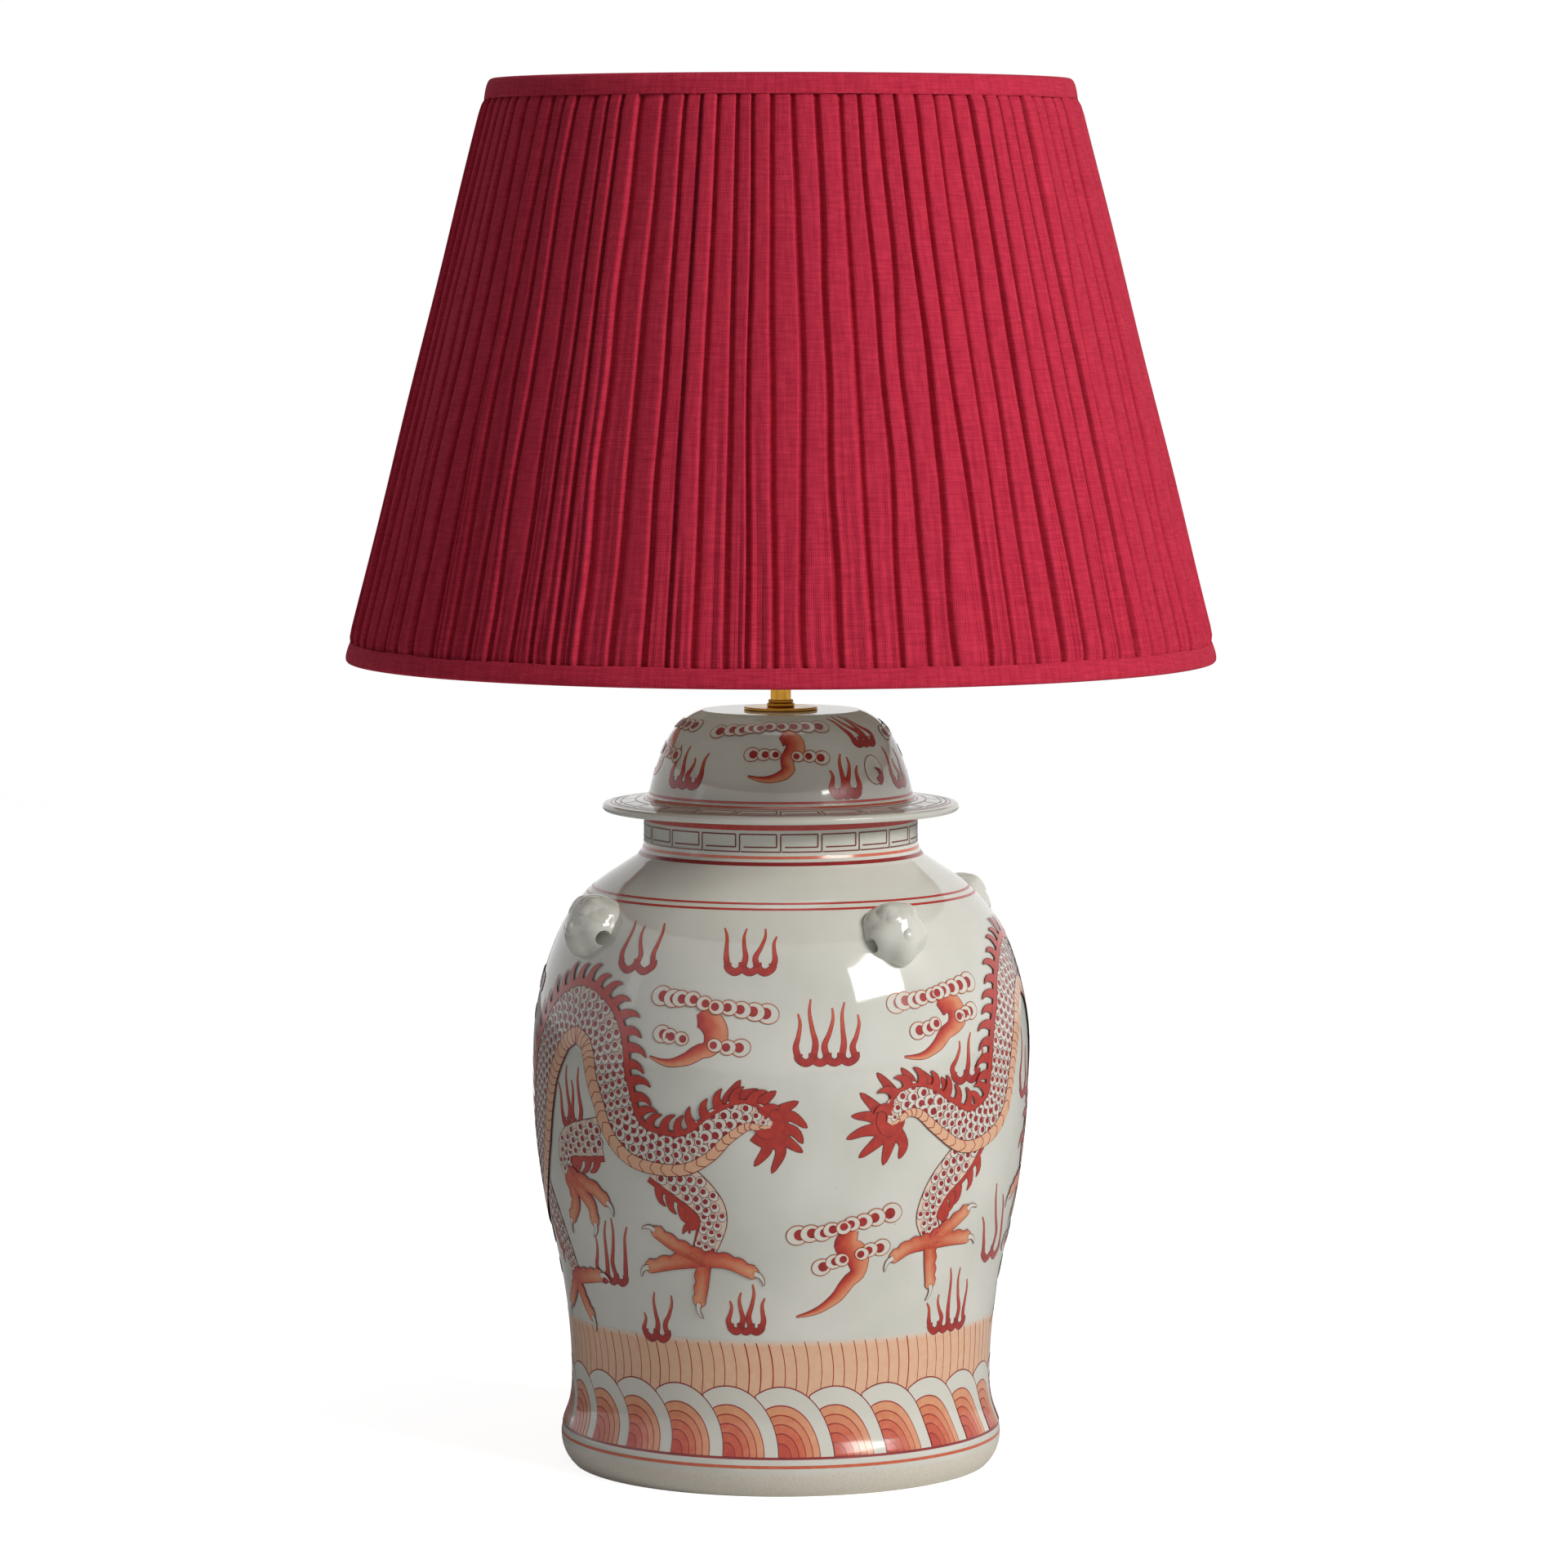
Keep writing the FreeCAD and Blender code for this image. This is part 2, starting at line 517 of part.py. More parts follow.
LID_FOOT = ("lid_wall_radius", "%s + lid_flange_edge + lid_flange_rise" % JAR_TOP)
LID_TURN = leaning_arc(LID_FOOT, "lid_wall_curve", "lid_foot_lean", "lid_turn_lean")
LID_CROWN = leaning_arc(LID_TURN, "lid_crown_curve", "lid_turn_lean", "lid_top_lean")
LID_TOP = "(%s)" % LID_CROWN[1]


def make_lid():
    """The domed lid with its flange, and the ring that locates it in the neck."""
    inner_foot = ("lid_wall_radius - lid_thickness", LID_FOOT[1])
    inner_turn = leaning_arc(inner_foot, "lid_wall_curve - lid_thickness", "lid_foot_lean",
                             "lid_turn_lean")
    inner_crown = leaning_arc(inner_turn, "lid_crown_curve - lid_thickness", "lid_turn_lean",
                              "lid_top_lean")
    bezel_outer = "neck_radius - neck_wall - bezel_gap"
    bezel_inner = bezel_outer + " - bezel_width"
    edge = "lid_flange_edge * edge_roundness"
    turned("jar_lid", [
        ("rod_hole_radius", LID_TOP),
        ("rod_hole_radius", inner_crown[1]),
        inner_crown,
        inner_turn + ("lid_crown_curve - lid_thickness", "right"),
        inner_foot + ("lid_wall_curve - lid_thickness", "right"),
        (bezel_inner, JAR_TOP),
        (bezel_inner, "%s - bezel_depth" % JAR_TOP),
        (bezel_outer, "%s - bezel_depth" % JAR_TOP),
        (bezel_outer, JAR_TOP),
        ("lid_flange_radius - %s" % edge, JAR_TOP),
        ("lid_flange_radius - %s" % edge, "%s + lid_flange_edge" % JAR_TOP,
         bulge("lid_flange_edge", edge), "left"),
        ("%s + lid_foot_fillet" % LID_FOOT[0], LID_FOOT[1]),
        (LID_FOOT[0], "%s + lid_foot_fillet" % LID_FOOT[1], "lid_foot_fillet", "right"),
        LID_TURN + ("lid_wall_curve", "left"),
        LID_CROWN + ("lid_crown_curve", "left"),
    ])


# ---------------------------------------------------------------- stem

DISC_TOP = "(%s + disc_thickness)" % LID_TOP
COLLAR_TOP = "(%s + 2 * collar_ring)" % DISC_TOP
TUBE_TOP = "(%s + tube_length)" % COLLAR_TOP
BORE_ON_ROD = "rod_radius + thread_clearance"


def make_stem():
    """The rod with the washers and nut under the base, and the disc, collar and tube on the lid."""
    cushion_bottom = "foot_recess - cushion_thickness"
    washer_bottom = cushion_bottom + " - washer_thickness"
    nut_bottom = washer_bottom + " - nut_thickness"
    turned("base_cushion", ring_steps(BORE_ON_ROD, "cushion_radius", cushion_bottom, "foot_recess"))
    turned("base_washer", ring_steps(BORE_ON_ROD, "washer_radius", washer_bottom, cushion_bottom))

    hexagon = doc.addObject("Part::Prism", "base_nut_hexagon")
    hexagon.Polygon = 6
    bind(hexagon, "Circumradius", "nut_radius")
    bind(hexagon, "Height", "nut_thickness")
    bind(hexagon, "Placement.Base.z", nut_bottom)
    rounded = turned("base_nut_round", [
        (BORE_ON_ROD, nut_bottom),
        ("nut_radius - nut_chamfer", nut_bottom),
        ("nut_radius", "%s + nut_chamfer" % nut_bottom),
        ("nut_radius", "%s - nut_chamfer" % washer_bottom),
        ("nut_radius - nut_chamfer", washer_bottom),
        (BORE_ON_ROD, washer_bottom),
    ])
    nut = doc.addObject("Part::Common", "base_nut")
    nut.Label = "base_nut"
    nut.Base = hexagon
    nut.Tool = rounded

    turned("stem_rod", ring_steps("rod_bore_radius", "rod_radius", "rod_floor_gap",
                                  "%s + rod_entry" % TUBE_TOP))
    bead = "disc_thickness * edge_roundness"
    turned("stem_disc", [
        (BORE_ON_ROD, LID_TOP),
        ("disc_radius - %s" % bead, LID_TOP),
        ("disc_radius - %s" % bead, DISC_TOP, bulge("disc_thickness", bead), "left"),
        (BORE_ON_ROD, DISC_TOP),
    ])
    step = "%s + collar_ring" % DISC_TOP
    bead = "collar_ring * edge_roundness"
    turned("tube_collar", [
        (BORE_ON_ROD, DISC_TOP),
        ("collar_radius - %s" % bead, DISC_TOP),
        ("collar_radius - %s" % bead, step, bulge("collar_ring", bead), "left"),
        ("collar_radius - collar_step - %s" % bead, step),
        ("collar_radius - collar_step - %s" % bead, COLLAR_TOP, bulge("collar_ring", bead), "left"),
        (BORE_ON_ROD, COLLAR_TOP),
    ])
    turned("cover_tube", ring_steps("tube_radius - tube_wall", "tube_radius", COLLAR_TOP, TUBE_TOP))


def make_inlet():
    """The rubber grommet in the hole at the back, for the flex."""
    body = new_body("inlet_grommet")
    sketch = new_sketch(body, "inlet_grommet_outline", "YZ_Plane")
    neck = "inlet_hole_radius - inlet_gap"
    inside = "%s - jar_wall - inlet_seat" % WAIST
    outside = "%s + inlet_seat" % WAIST
    low = "%s - inlet_rim_thickness" % inside
    high = "%s + inlet_rim_thickness" % outside

    def at(radius):
        return "inlet_height + %s" % radius
    draw(sketch, [
        (low, at("inlet_bore_radius")),
        (high, at("inlet_bore_radius")),
        (high, at("inlet_rim_radius - inlet_edge")),
        ("%s - inlet_edge" % high, at("inlet_rim_radius"), "inlet_edge", "left"),
        (outside, at("inlet_rim_radius")),
        (outside, at(neck)),
        (inside, at(neck)),
        (inside, at("inlet_rim_radius")),
        (low, at("inlet_rim_radius")),
    ])
    axis = sketch.addGeometry(Part.LineSegment(FreeCAD.Vector(0, value("inlet_height"), 0),
                                               FreeCAD.Vector(value(low), value("inlet_height"), 0)),
                              True)
    place_point(sketch, axis, 1, "0", "inlet_height")
    place_point(sketch, axis, 2, low, "inlet_height")
    feature = body.newObject("PartDesign::Revolution", "inlet_grommet_turned")
    feature.Profile = (sketch, [""])
    feature.ReferenceAxis = (sketch, ["Axis0"])
    feature.Angle = 360


# ---------------------------------------------------------------- lampholder, switch and bulb

CAP_BOTTOM = TUBE_TOP
CAP_TOP = "(%s + holder_entry_height + holder_cap_height)" % CAP_BOTTOM
SKIRT_TOP = "(%s + holder_skirt_height)" % CAP_TOP
SWITCH_AXIS = "(%s + holder_entry_height + switch_height)" % CAP_BOTTOM
INSULATOR_TOP = "(%s - skirt_lip - insulator_gap)" % SKIRT_TOP
SOCKET_FLOOR = "(%s + insulator_floor)" % CAP_TOP
BULB_BOTTOM = "(%s + contact_height)" % SOCKET_FLOOR


def make_holder():
    """The brass lampholder: cap, skirt, insulator, screw shell and centre contact."""
    dome = "%s + holder_entry_height" % CAP_BOTTOM
    inner = "holder_radius - holder_wall"
    cap = turned("holder_cap_shell", [
        (BORE_ON_ROD, CAP_BOTTOM),
        ("holder_entry_radius", CAP_BOTTOM),
        ("holder_entry_radius", dome),
        ("holder_radius - holder_cap_curve / 2", dome),
        ("holder_radius", "%s + holder_cap_curve / 2" % dome, "holder_cap_curve / 2", "left"),
        ("holder_radius", CAP_TOP),
        (inner, CAP_TOP),
        (inner, "%s + holder_cap_curve / 2" % dome),
        ("holder_radius - holder_cap_curve / 2", "%s + holder_wall" % dome,
         "holder_cap_curve / 2 - holder_wall", "right"),
        (BORE_ON_ROD, "%s + holder_wall" % dome),
    ])
    hole = cylinder("switch_hole_form", "switch_bar_radius + switch_clearance",
                    "2 * (holder_radius + overrun)", SWITCH_AXIS)
    hole.Placement.Rotation = FreeCAD.Rotation(FreeCAD.Vector(0, 1, 0), 90)
    bind(hole, "Placement.Base.x", "-holder_radius - overrun")
    cut("holder_cap", cap, hole)
    turned("holder_skirt", [
        (inner, CAP_TOP),
        ("holder_radius", CAP_TOP),
        ("holder_radius", "%s - skirt_edge" % SKIRT_TOP),
        ("holder_radius - skirt_edge", SKIRT_TOP),
        ("insulator_radius + skirt_lip_inset", SKIRT_TOP),
        ("insulator_radius + skirt_lip_inset", "%s - skirt_lip" % SKIRT_TOP),
        (inner, "%s - skirt_lip" % SKIRT_TOP),
    ])
    outer = inner + " - insulator_gap"
    turned("holder_insulator", [
        ("0", CAP_TOP),
        (outer, CAP_TOP),
        (outer, INSULATOR_TOP),
        ("insulator_radius", INSULATOR_TOP),
        ("insulator_radius", SOCKET_FLOOR),
        ("0", SOCKET_FLOOR),
    ])
    shell_outer = "insulator_radius - screw_shell_gap"
    turned("screw_shell", ring_steps(shell_outer + " - screw_shell_wall", shell_outer, SOCKET_FLOOR,
                                     "%s + screw_shell_height" % SOCKET_FLOOR))
    cylinder("centre_contact", "contact_radius", "contact_height", SOCKET_FLOOR)


def make_switch():
    """The push bar that runs right through the lampholder's cap, with a head at each end."""
    body = new_body("switch_bar")
    sketch = new_sketch(body, "switch_bar_outline")
    right = "holder_radius + switch_stub"
    left = "-(holder_radius + switch_stub + switch_travel)"
    dome = "switch_head_radius / 2"

    def at(radius):
        return "%s + %s" % (SWITCH_AXIS, radius)
    draw(sketch, [
        ("%s - switch_head_length" % left, at("0")),
        (right + " + switch_head_length", at("0")),
        (right + " + switch_head_length", at("switch_head_radius - " + dome)),
        (right + " + switch_head_length - " + dome, at("switch_head_radius"), dome, "left"),
        (right, at("switch_head_radius")),
        (right, at("switch_bar_radius")),
        (left, at("switch_bar_radius")),
        (left, at("switch_head_radius")),
        ("%s - switch_head_length + %s" % (left, dome), at("switch_head_radius")),
        ("%s - switch_head_length" % left, at("switch_head_radius - " + dome), dome, "left"),
    ])
    feature = body.newObject("PartDesign::Revolution", "switch_bar_turned")
    feature.Profile = (sketch, [""])
    feature.ReferenceAxis = (sketch, ["Edge1"])
    feature.Angle = 360


def make_bulb():
    """The bulb: contact, screw cap, glass globe, and the stem inside that holds the filaments."""
    tip_top = "%s + bulb_tip_height" % BULB_BOTTOM
    cap_top = "(%s + bulb_cap_height)" % BULB_BOTTOM
    cylinder("bulb_contact", "bulb_tip_radius", "bulb_tip_height", BULB_BOTTOM)
    turned("bulb_cap", [
        ("0", tip_top),
        ("bulb_tip_radius + bulb_cap_land", tip_top),
        ("bulb_cap_radius", "%s + bulb_cap_taper" % tip_top),
        ("bulb_cap_radius", cap_top),
        ("0", cap_top),
    ])
    globe_centre = "(%s + bulb_length - bulb_radius)" % BULB_BOTTOM
    lean = "bulb_globe_lean"
    for label, inset in (("bulb_glass", "0"), ("bulb_hollow", "bulb_wall")):
        globe = "(bulb_radius - %s)" % inset
        neck = "(bulb_neck_radius - %s)" % inset
        side = "%s * cos(%s * 1deg)" % (globe, lean)
        drop = "%s - %s * sin(%s * 1deg)" % (globe_centre, globe, lean)
        # the neck's hollow curve is tangent to the globe and to the straight neck
        flare = "((%s - %s) / (1 - cos(%s * 1deg)))" % (side, neck, lean)
        straight = "%s - %s * sin(%s * 1deg)" % (drop, flare, lean)
        start = "%s + %s" % (cap_top, inset)
        form = turned(label + "_form", [
            ("0", start),
            (neck, start),
            (neck, straight),
            (side, drop, flare, "right"),
            (globe, globe_centre, globe, "left"),
            ("0", "%s + %s" % (globe_centre, globe), globe, "left"),
        ])
        if inset == "0":
            outside = form
    cut("bulb_glass", outside, form)
    stem_bottom = "%s + bulb_wall" % cap_top
    stem = turned("bulb_stem_form", [
        ("0", stem_bottom),
        ("bulb_neck_radius - bulb_wall - bulb_stem_gap", stem_bottom),
        ("bulb_stem_radius", "%s + bulb_stem_foot" % stem_bottom),
        ("bulb_stem_end_radius", "%s + bulb_stem_height" % stem_bottom),
        ("0", "%s + bulb_stem_height" % stem_bottom),
    ])
    rods = []
    count = int(value("filament_count"))
    for number in range(count):
        rod = cylinder("filament_%d" % (number + 1), "filament_radius", "filament_length",
                       "%s + filament_start" % stem_bottom)
        turn = (number + 0.5) * 360 / count
        bind(rod, "Placement.Base.x", "filament_circle * cos(%s * 1deg)" % turn)
        bind(rod, "Placement.Base.y", "filament_circle * sin(%s * 1deg)" % turn)
        rods.append(rod)
    fuse("bulb_stem", [stem] + rods)


PLATE_BOTTOM = "(%s + ring_start + ring_height)" % CAP_TOP
PLATE_MIDDLE = "(%s + carrier_plate / 2)" % PLATE_BOTTOM
PLATE_TOP = "(%s + carrier_plate)" % PLATE_BOTTOM


def make_shade_rings():
    """The two threaded rings that clamp the carrier's base ring on the lampholder's skirt."""
    bore = "holder_radius + ring_gap"
    body = bore + " + ring_wall"
    turned("shade_ring_lower", [
        (bore, "%s - ring_height" % PLATE_BOTTOM),
        (body, "%s - ring_height" % PLATE_BOTTOM),
        (body, "%s - ring_flange" % PLATE_BOTTOM),
        ("ring_radius", "%s - ring_flange" % PLATE_BOTTOM),
        ("ring_radius", PLATE_BOTTOM),
        (bore, PLATE_BOTTOM),
    ])
    turned("shade_ring_upper", [
        (bore, PLATE_TOP),
        ("ring_radius", PLATE_TOP),
        ("ring_radius", "%s + ring_flange" % PLATE_TOP),
        (body, "%s + ring_flange" % PLATE_TOP),
        (body, "%s + ring_height" % PLATE_TOP),
        (bore, "%s + ring_height" % PLATE_TOP),
    ])
    turned("carrier_plate", ring_steps(bore, "carrier_plate_radius", PLATE_BOTTOM, PLATE_TOP))


# ---------------------------------------------------------------- carrier and gallery

SHADE_TOP = "(shade_bottom + shade_height)"
TOP_HOOP_HEIGHT = "(%s - hoop_inset)" % SHADE_TOP
FITTER_SEAT = "(%s - fitter_drop)" % TOP_HOOP_HEIGHT
GALLERY_BOTTOM = "(%s - gallery_thickness)" % FITTER_SEAT
BOSS_BOTTOM = "(%s - boss_height)" % GALLERY_BOTTOM


def pipe(body, route, section):
    feature = body.newObject("PartDesign::AdditivePipe", body.Name + "_pipe")
    feature.Profile = (section, [""])
    edges = ["Edge%d" % (number + 1) for number in range(len(route.Shape.Edges))]
    feature.Spine = (route, edges)
    return feature


def make_carrier():
    """Two bowed arms from the clamped ring up round the bulb to a boss, and the gallery's bolt."""
    arm_top = "(%s + boss_height / 2)" % BOSS_BOTTOM
    start = "carrier_plate_radius"
    for name, turn in (("carrier_arm_right", 0), ("carrier_arm_left", 180)):
        body = new_body(name)
        route = new_sketch(body, name + "_route")
        draw(route, [
            (start, PLATE_MIDDLE),
            ("carrier_arm_radius - carrier_foot_bend", PLATE_MIDDLE),
            ("carrier_arm_radius", "%s + carrier_foot_bend" % PLATE_MIDDLE, "carrier_foot_bend", "left"),
            ("carrier_arm_radius", "%s - carrier_bend" % arm_top),
            ("carrier_arm_radius - carrier_bend", arm_top, "carrier_bend", "left"),
            ("boss_radius", arm_top),
        ], closed=False)
        section = new_sketch(body, name + "_section", "YZ_Plane", start)
        draw_circle(section, "0", PLATE_MIDDLE, "carrier_wire_radius")
        doc.recompute()
        pipe(body, route, section)
        body.Placement.Rotation = FreeCAD.Rotation(FreeCAD.Vector(0, 0, 1), turn)
    bolt_top = "(%s + bolt_length)" % GALLERY_BOTTOM
    turned("carrier_boss", [
        ("0", BOSS_BOTTOM),
        ("boss_radius - boss_edge", BOSS_BOTTOM),
        ("boss_radius", "%s + boss_edge" % BOSS_BOTTOM, "boss_edge", "left"),
        ("boss_radius", GALLERY_BOTTOM),
        ("bolt_radius", GALLERY_BOTTOM),
        ("bolt_radius", "%s - bolt_chamfer" % bolt_top),
        ("bolt_radius - bolt_chamfer", bolt_top),
        ("0", bolt_top),
    ])


def beside_spoke(along, aside, turn):
    """A point at a distance along a spoke and beside it, the spoke turned by so many degrees."""
    across = "%s * cos(%s * 1deg) - %s * sin(%s * 1deg)" % (along, turn, aside, turn)
    up = "%s * sin(%s * 1deg) + %s * cos(%s * 1deg)" % (along, turn, aside, turn)
    return across, up


def make_gallery():
    """The spoked plate that the shade rests on, and the knurled nut over it."""
    body = new_body("gallery")
    sketch = new_sketch(body, "gallery_outline")
    lip = "(%s + gallery_lip_height)" % FITTER_SEAT
    lip_inner = "gallery_lip_radius - gallery_thickness"
    bore = "bolt_radius + gallery_clearance"
    bead = "gallery_thickness * edge_roundness"
    draw(sketch, [
        (bore, GALLERY_BOTTOM),
        ("gallery_radius", GALLERY_BOTTOM),
        ("gallery_radius", FITTER_SEAT),
        ("gallery_lip_radius", FITTER_SEAT),
        ("gallery_lip_radius", "%s - %s" % (lip, bead)),
        (lip_inner, "%s - %s" % (lip, bead), bulge("gallery_thickness", bead), "left"),
        (lip_inner, FITTER_SEAT),
        (bore, FITTER_SEAT),
    ])
    revolve(body, sketch)

    # a window between two spokes: straight along both spokes, round along hub and lip
    window = new_sketch(body, "gallery_window", "XY_Plane", GALLERY_BOTTOM)
    rim = "(%s - gallery_margin)" % lip_inner
    near = "sqrt(gallery_hub_radius^2 - gallery_spoke^2 / 4)"
    far = "sqrt(%s^2 - gallery_spoke^2 / 4)" % rim
    half = "gallery_spoke / 2"
    pitch = "(360 / gallery_spokes)"
    draw(window, [
        beside_spoke(near, half, "0") + ("gallery_hub_radius", "right"),
        beside_spoke(far, half, "0"),
        beside_spoke(far, "(-%s)" % half, pitch) + (rim, "left"),
        beside_spoke(near, "(-%s)" % half, pitch),
    ])
    pocket = body.newObject("PartDesign::Pocket", "gallery_window_cut")
    pocket.Profile = (window, [""])
    pocket.Type = 1
    pocket.Reversed = True
    window.Visibility = False
    round_axis(body, "gallery_windows", pocket, "gallery_spokes")

    nut_bottom = "(%s + nut_gap)" % FITTER_SEAT
    nut_top = "(%s + knob_height)" % nut_bottom
    thread = "bolt_radius + thread_clearance"
    turned("gallery_nut", [
        (thread, nut_bottom),
        ("knob_radius - knob_chamfer", nut_bottom),
        ("knob_radius", "%s + knob_chamfer" % nut_bottom),
        ("knob_radius", "%s - knob_dome" % nut_top),
        ("knob_radius - knob_dome", nut_top, "knob_dome", "left"),
        (thread, nut_top),
    ])


# ---------------------------------------------------------------- shade

SLOPE = "((shade_bottom_radius - shade_top_radius) / shade_height)"


def lining_radius(height):
    """Outside radius of the lining at a height."""
    return "(shade_bottom_radius - (%s - shade_bottom) * %s)" % (height, SLOPE)


def make_shade_frame():
    """The top hoop with its dropped spider and ring, and the bottom hoop."""
    inner = "(lining_thickness + hoop_radius + hoop_gap)"
    low_height = "(shade_bottom + hoop_inset)"
    top_hoop = "(%s - %s)" % (lining_radius(TOP_HOOP_HEIGHT), inner)
    low_hoop = "(%s - %s)" % (lining_radius(low_height), inner)
    arm_height = "(%s + fitter_thickness / 2 + fitter_arm_radius)" % FITTER_SEAT

    body = new_body("top_fitter")
    sketch = new_sketch(body, "fitter_ring_outline")
    outer = "fitter_inner_radius + fitter_width"
    draw(sketch, ring_steps("fitter_inner_radius", outer, FITTER_SEAT,
                            "%s + fitter_thickness" % FITTER_SEAT))
    revolve(body, sketch)
    hoop = new_sketch(body, "top_hoop_section")
    draw_circle(hoop, top_hoop, TOP_HOOP_HEIGHT, "hoop_radius")
    route = new_sketch(body, "spider_route")
    start = "(fitter_inner_radius + fitter_width / 2)"
    draw(route, [
        (start, arm_height),
        ("%s - fitter_bend" % top_hoop, arm_height),
        (top_hoop, "%s + fitter_bend" % arm_height, "fitter_bend", "left"),
        (top_hoop, TOP_HOOP_HEIGHT),
    ], closed=False)
    section = new_sketch(body, "spider_section", "YZ_Plane", start)
    draw_circle(section, "0", arm_height, "fitter_arm_radius")
    doc.recompute()
    round_axis(body, "spider_arms", pipe(body, route, section), "fitter_arms")
    body.Tip = revolve(body, hoop)

    bottom = doc.addObject("Part::Torus", "bottom_hoop")
    bottom.Label = "bottom_hoop"
    bind(bottom, "Radius1", low_hoop)
    bind(bottom, "Radius2", "hoop_radius")
    bind(bottom, "Placement.Base.z", low_height)


def make_lining():
    low = "(shade_bottom + lining_inset)"
    high = "(%s - lining_inset)" % SHADE_TOP
    turned("shade_lining", [
        (lining_radius(low) + " - lining_thickness", low),
        (lining_radius(low), low),
        (lining_radius(high), high),
        (lining_radius(high) + " - lining_thickness", high),
    ])


def make_cover():
    """The pleated linen: at each height a saw-tooth ring, whose pleats rise slowly and drop fast,
    ruled from the lower ring to the upper one, less a many-sided cone that clears the lining."""
    count = int(value("pleat_count"))
    # a ring of straight sides, one to a pleat, clears a circle when its corners stand this far out
    corner_share = 1 / math.cos(math.pi / count)
    low = value("shade_bottom + bottom_trim_height")
    high = value("%s - top_trim_height" % SHADE_TOP)
    outer_rings = []
    inner_rings = []
    for height in (low, high):
        inner = value(lining_radius(height))
        bore = (inner + value("cover_gap")) * corner_share
        points = []
        corners = []
        for pleat in range(count):
            for share, rise in ((0, 0), (value("pleat_crest"), value("pleat_rise"))):
                turn = 2 * math.pi * (pleat + share) / count
                radius = inner + value("pleat_base") + rise
                points.append(FreeCAD.Vector(radius * math.cos(turn), radius * math.sin(turn), height))
            turn = 2 * math.pi * pleat / count
            corners.append(FreeCAD.Vector(bore * math.cos(turn), bore * math.sin(turn), height))
        outer_rings.append(Part.makePolygon(points + points[:1]))
        inner_rings.append(Part.makePolygon(corners + corners[:1]))
    outside = Part.makeLoft(outer_rings, True, True)
    inside = Part.makeLoft(inner_rings, True, True)
    cover = doc.addObject("Part::Feature", "shade_cover")
    cover.Label = "shade_cover"
    cover.Shape = outside.cut(inside)


def make_trims():
    """The rolled bands over both edges: each laps the cover outside, wraps the edge and turns in."""
    proud = "(pleat_base + pleat_rise + trim_lap)"
    inside = "(lining_thickness + 2 * hoop_radius + hoop_gap + trim_slack)"
    leg = "(lining_thickness + 2 * hoop_radius + hoop_gap + trim_slack + trim_wall)"
    # radii of the corners' arcs, where a slanting side meets the level edge
    wide = "(trim_corner * ((1 + %s)^2 + 1) / 2)" % SLOPE
    tight = "(trim_corner * ((1 - %s)^2 + 1) / 2)" % SLOPE
    low = "shade_bottom"
    low_corner = "(shade_bottom + trim_corner)"
    low_lip = "(shade_bottom + bottom_trim_height - trim_gap)"
    low_hem = "(shade_bottom + hoop_inset + hoop_radius + trim_hem)"
    low_bed = "(shade_bottom + lining_inset - trim_gap)"
    turned("bottom_trim", [
        ("%s - %s + trim_corner" % (lining_radius(low), leg), low, wide, "left"),
        ("%s + %s - trim_corner" % (lining_radius(low), proud), low),
        ("%s + %s" % (lining_radius(low_corner), proud), low_corner, tight, "left"),
        ("%s + %s" % (lining_radius(low_lip), proud), low_lip),
        ("%s + cover_gap" % lining_radius(low_lip), low_lip),
        ("%s + cover_gap" % lining_radius(low_bed), low_bed),
        ("%s - %s" % (lining_radius(low_bed), inside), low_bed),
        ("%s - %s" % (lining_radius(low_hem), inside), low_hem),
        ("%s - %s" % (lining_radius(low_hem), leg), low_hem),
        ("%s - %s" % (lining_radius(low_corner), leg), low_corner),
    ])
    top_corner = "(%s - trim_corner)" % SHADE_TOP
    top_lip = "(%s - top_trim_height + trim_gap)" % SHADE_TOP
    top_hem = "(%s - hoop_inset - hoop_radius - trim_hem)" % SHADE_TOP
    top_bed = "(%s - lining_inset + trim_gap)" % SHADE_TOP
    turned("top_trim", [
        ("%s + cover_gap" % lining_radius(top_lip), top_lip),
        ("%s + %s" % (lining_radius(top_lip), proud), top_lip),
        ("%s + %s" % (lining_radius(top_corner), proud), top_corner),
        ("%s + %s - trim_corner" % (lining_radius(SHADE_TOP), proud), SHADE_TOP, wide, "left"),
        ("%s - %s + trim_corner" % (lining_radius(SHADE_TOP), leg), SHADE_TOP),
        ("%s - %s" % (lining_radius(top_corner), leg), top_corner, tight, "left"),
        ("%s - %s" % (lining_radius(top_hem), leg), top_hem),
        ("%s - %s" % (lining_radius(top_hem), inside), top_hem),
        ("%s - %s" % (lining_radius(top_bed), inside), top_bed),
        ("%s + cover_gap" % lining_radius(top_bed), top_bed),
    ])


jar_form = make_jar()
lug_nodes = make_lugs(jar_form)
make_lid()
make_stem()
make_inlet()
make_holder()
make_switch()
make_bulb()
make_shade_rings()
make_carrier()
make_gallery()
make_shade_frame()
make_lining()
make_cover()
make_trims()
doc.recompute()

NODES = ["jar_body"] + lug_nodes + [
    "jar_lid", "base_cushion", "base_washer", "base_nut", "stem_rod", "stem_disc", "tube_collar",
    "cover_tube", "inlet_grommet", "holder_cap", "holder_skirt", "holder_insulator", "screw_shell",
    "centre_contact", "switch_bar", "bulb_contact", "bulb_cap", "bulb_glass", "bulb_stem",
    "shade_ring_lower", "shade_ring_upper", "carrier_plate", "carrier_arm_left", "carrier_arm_right",
    "carrier_boss", "gallery", "gallery_nut", "top_fitter", "bottom_hoop", "shade_lining",
    "shade_cover", "top_trim", "bottom_trim",
]

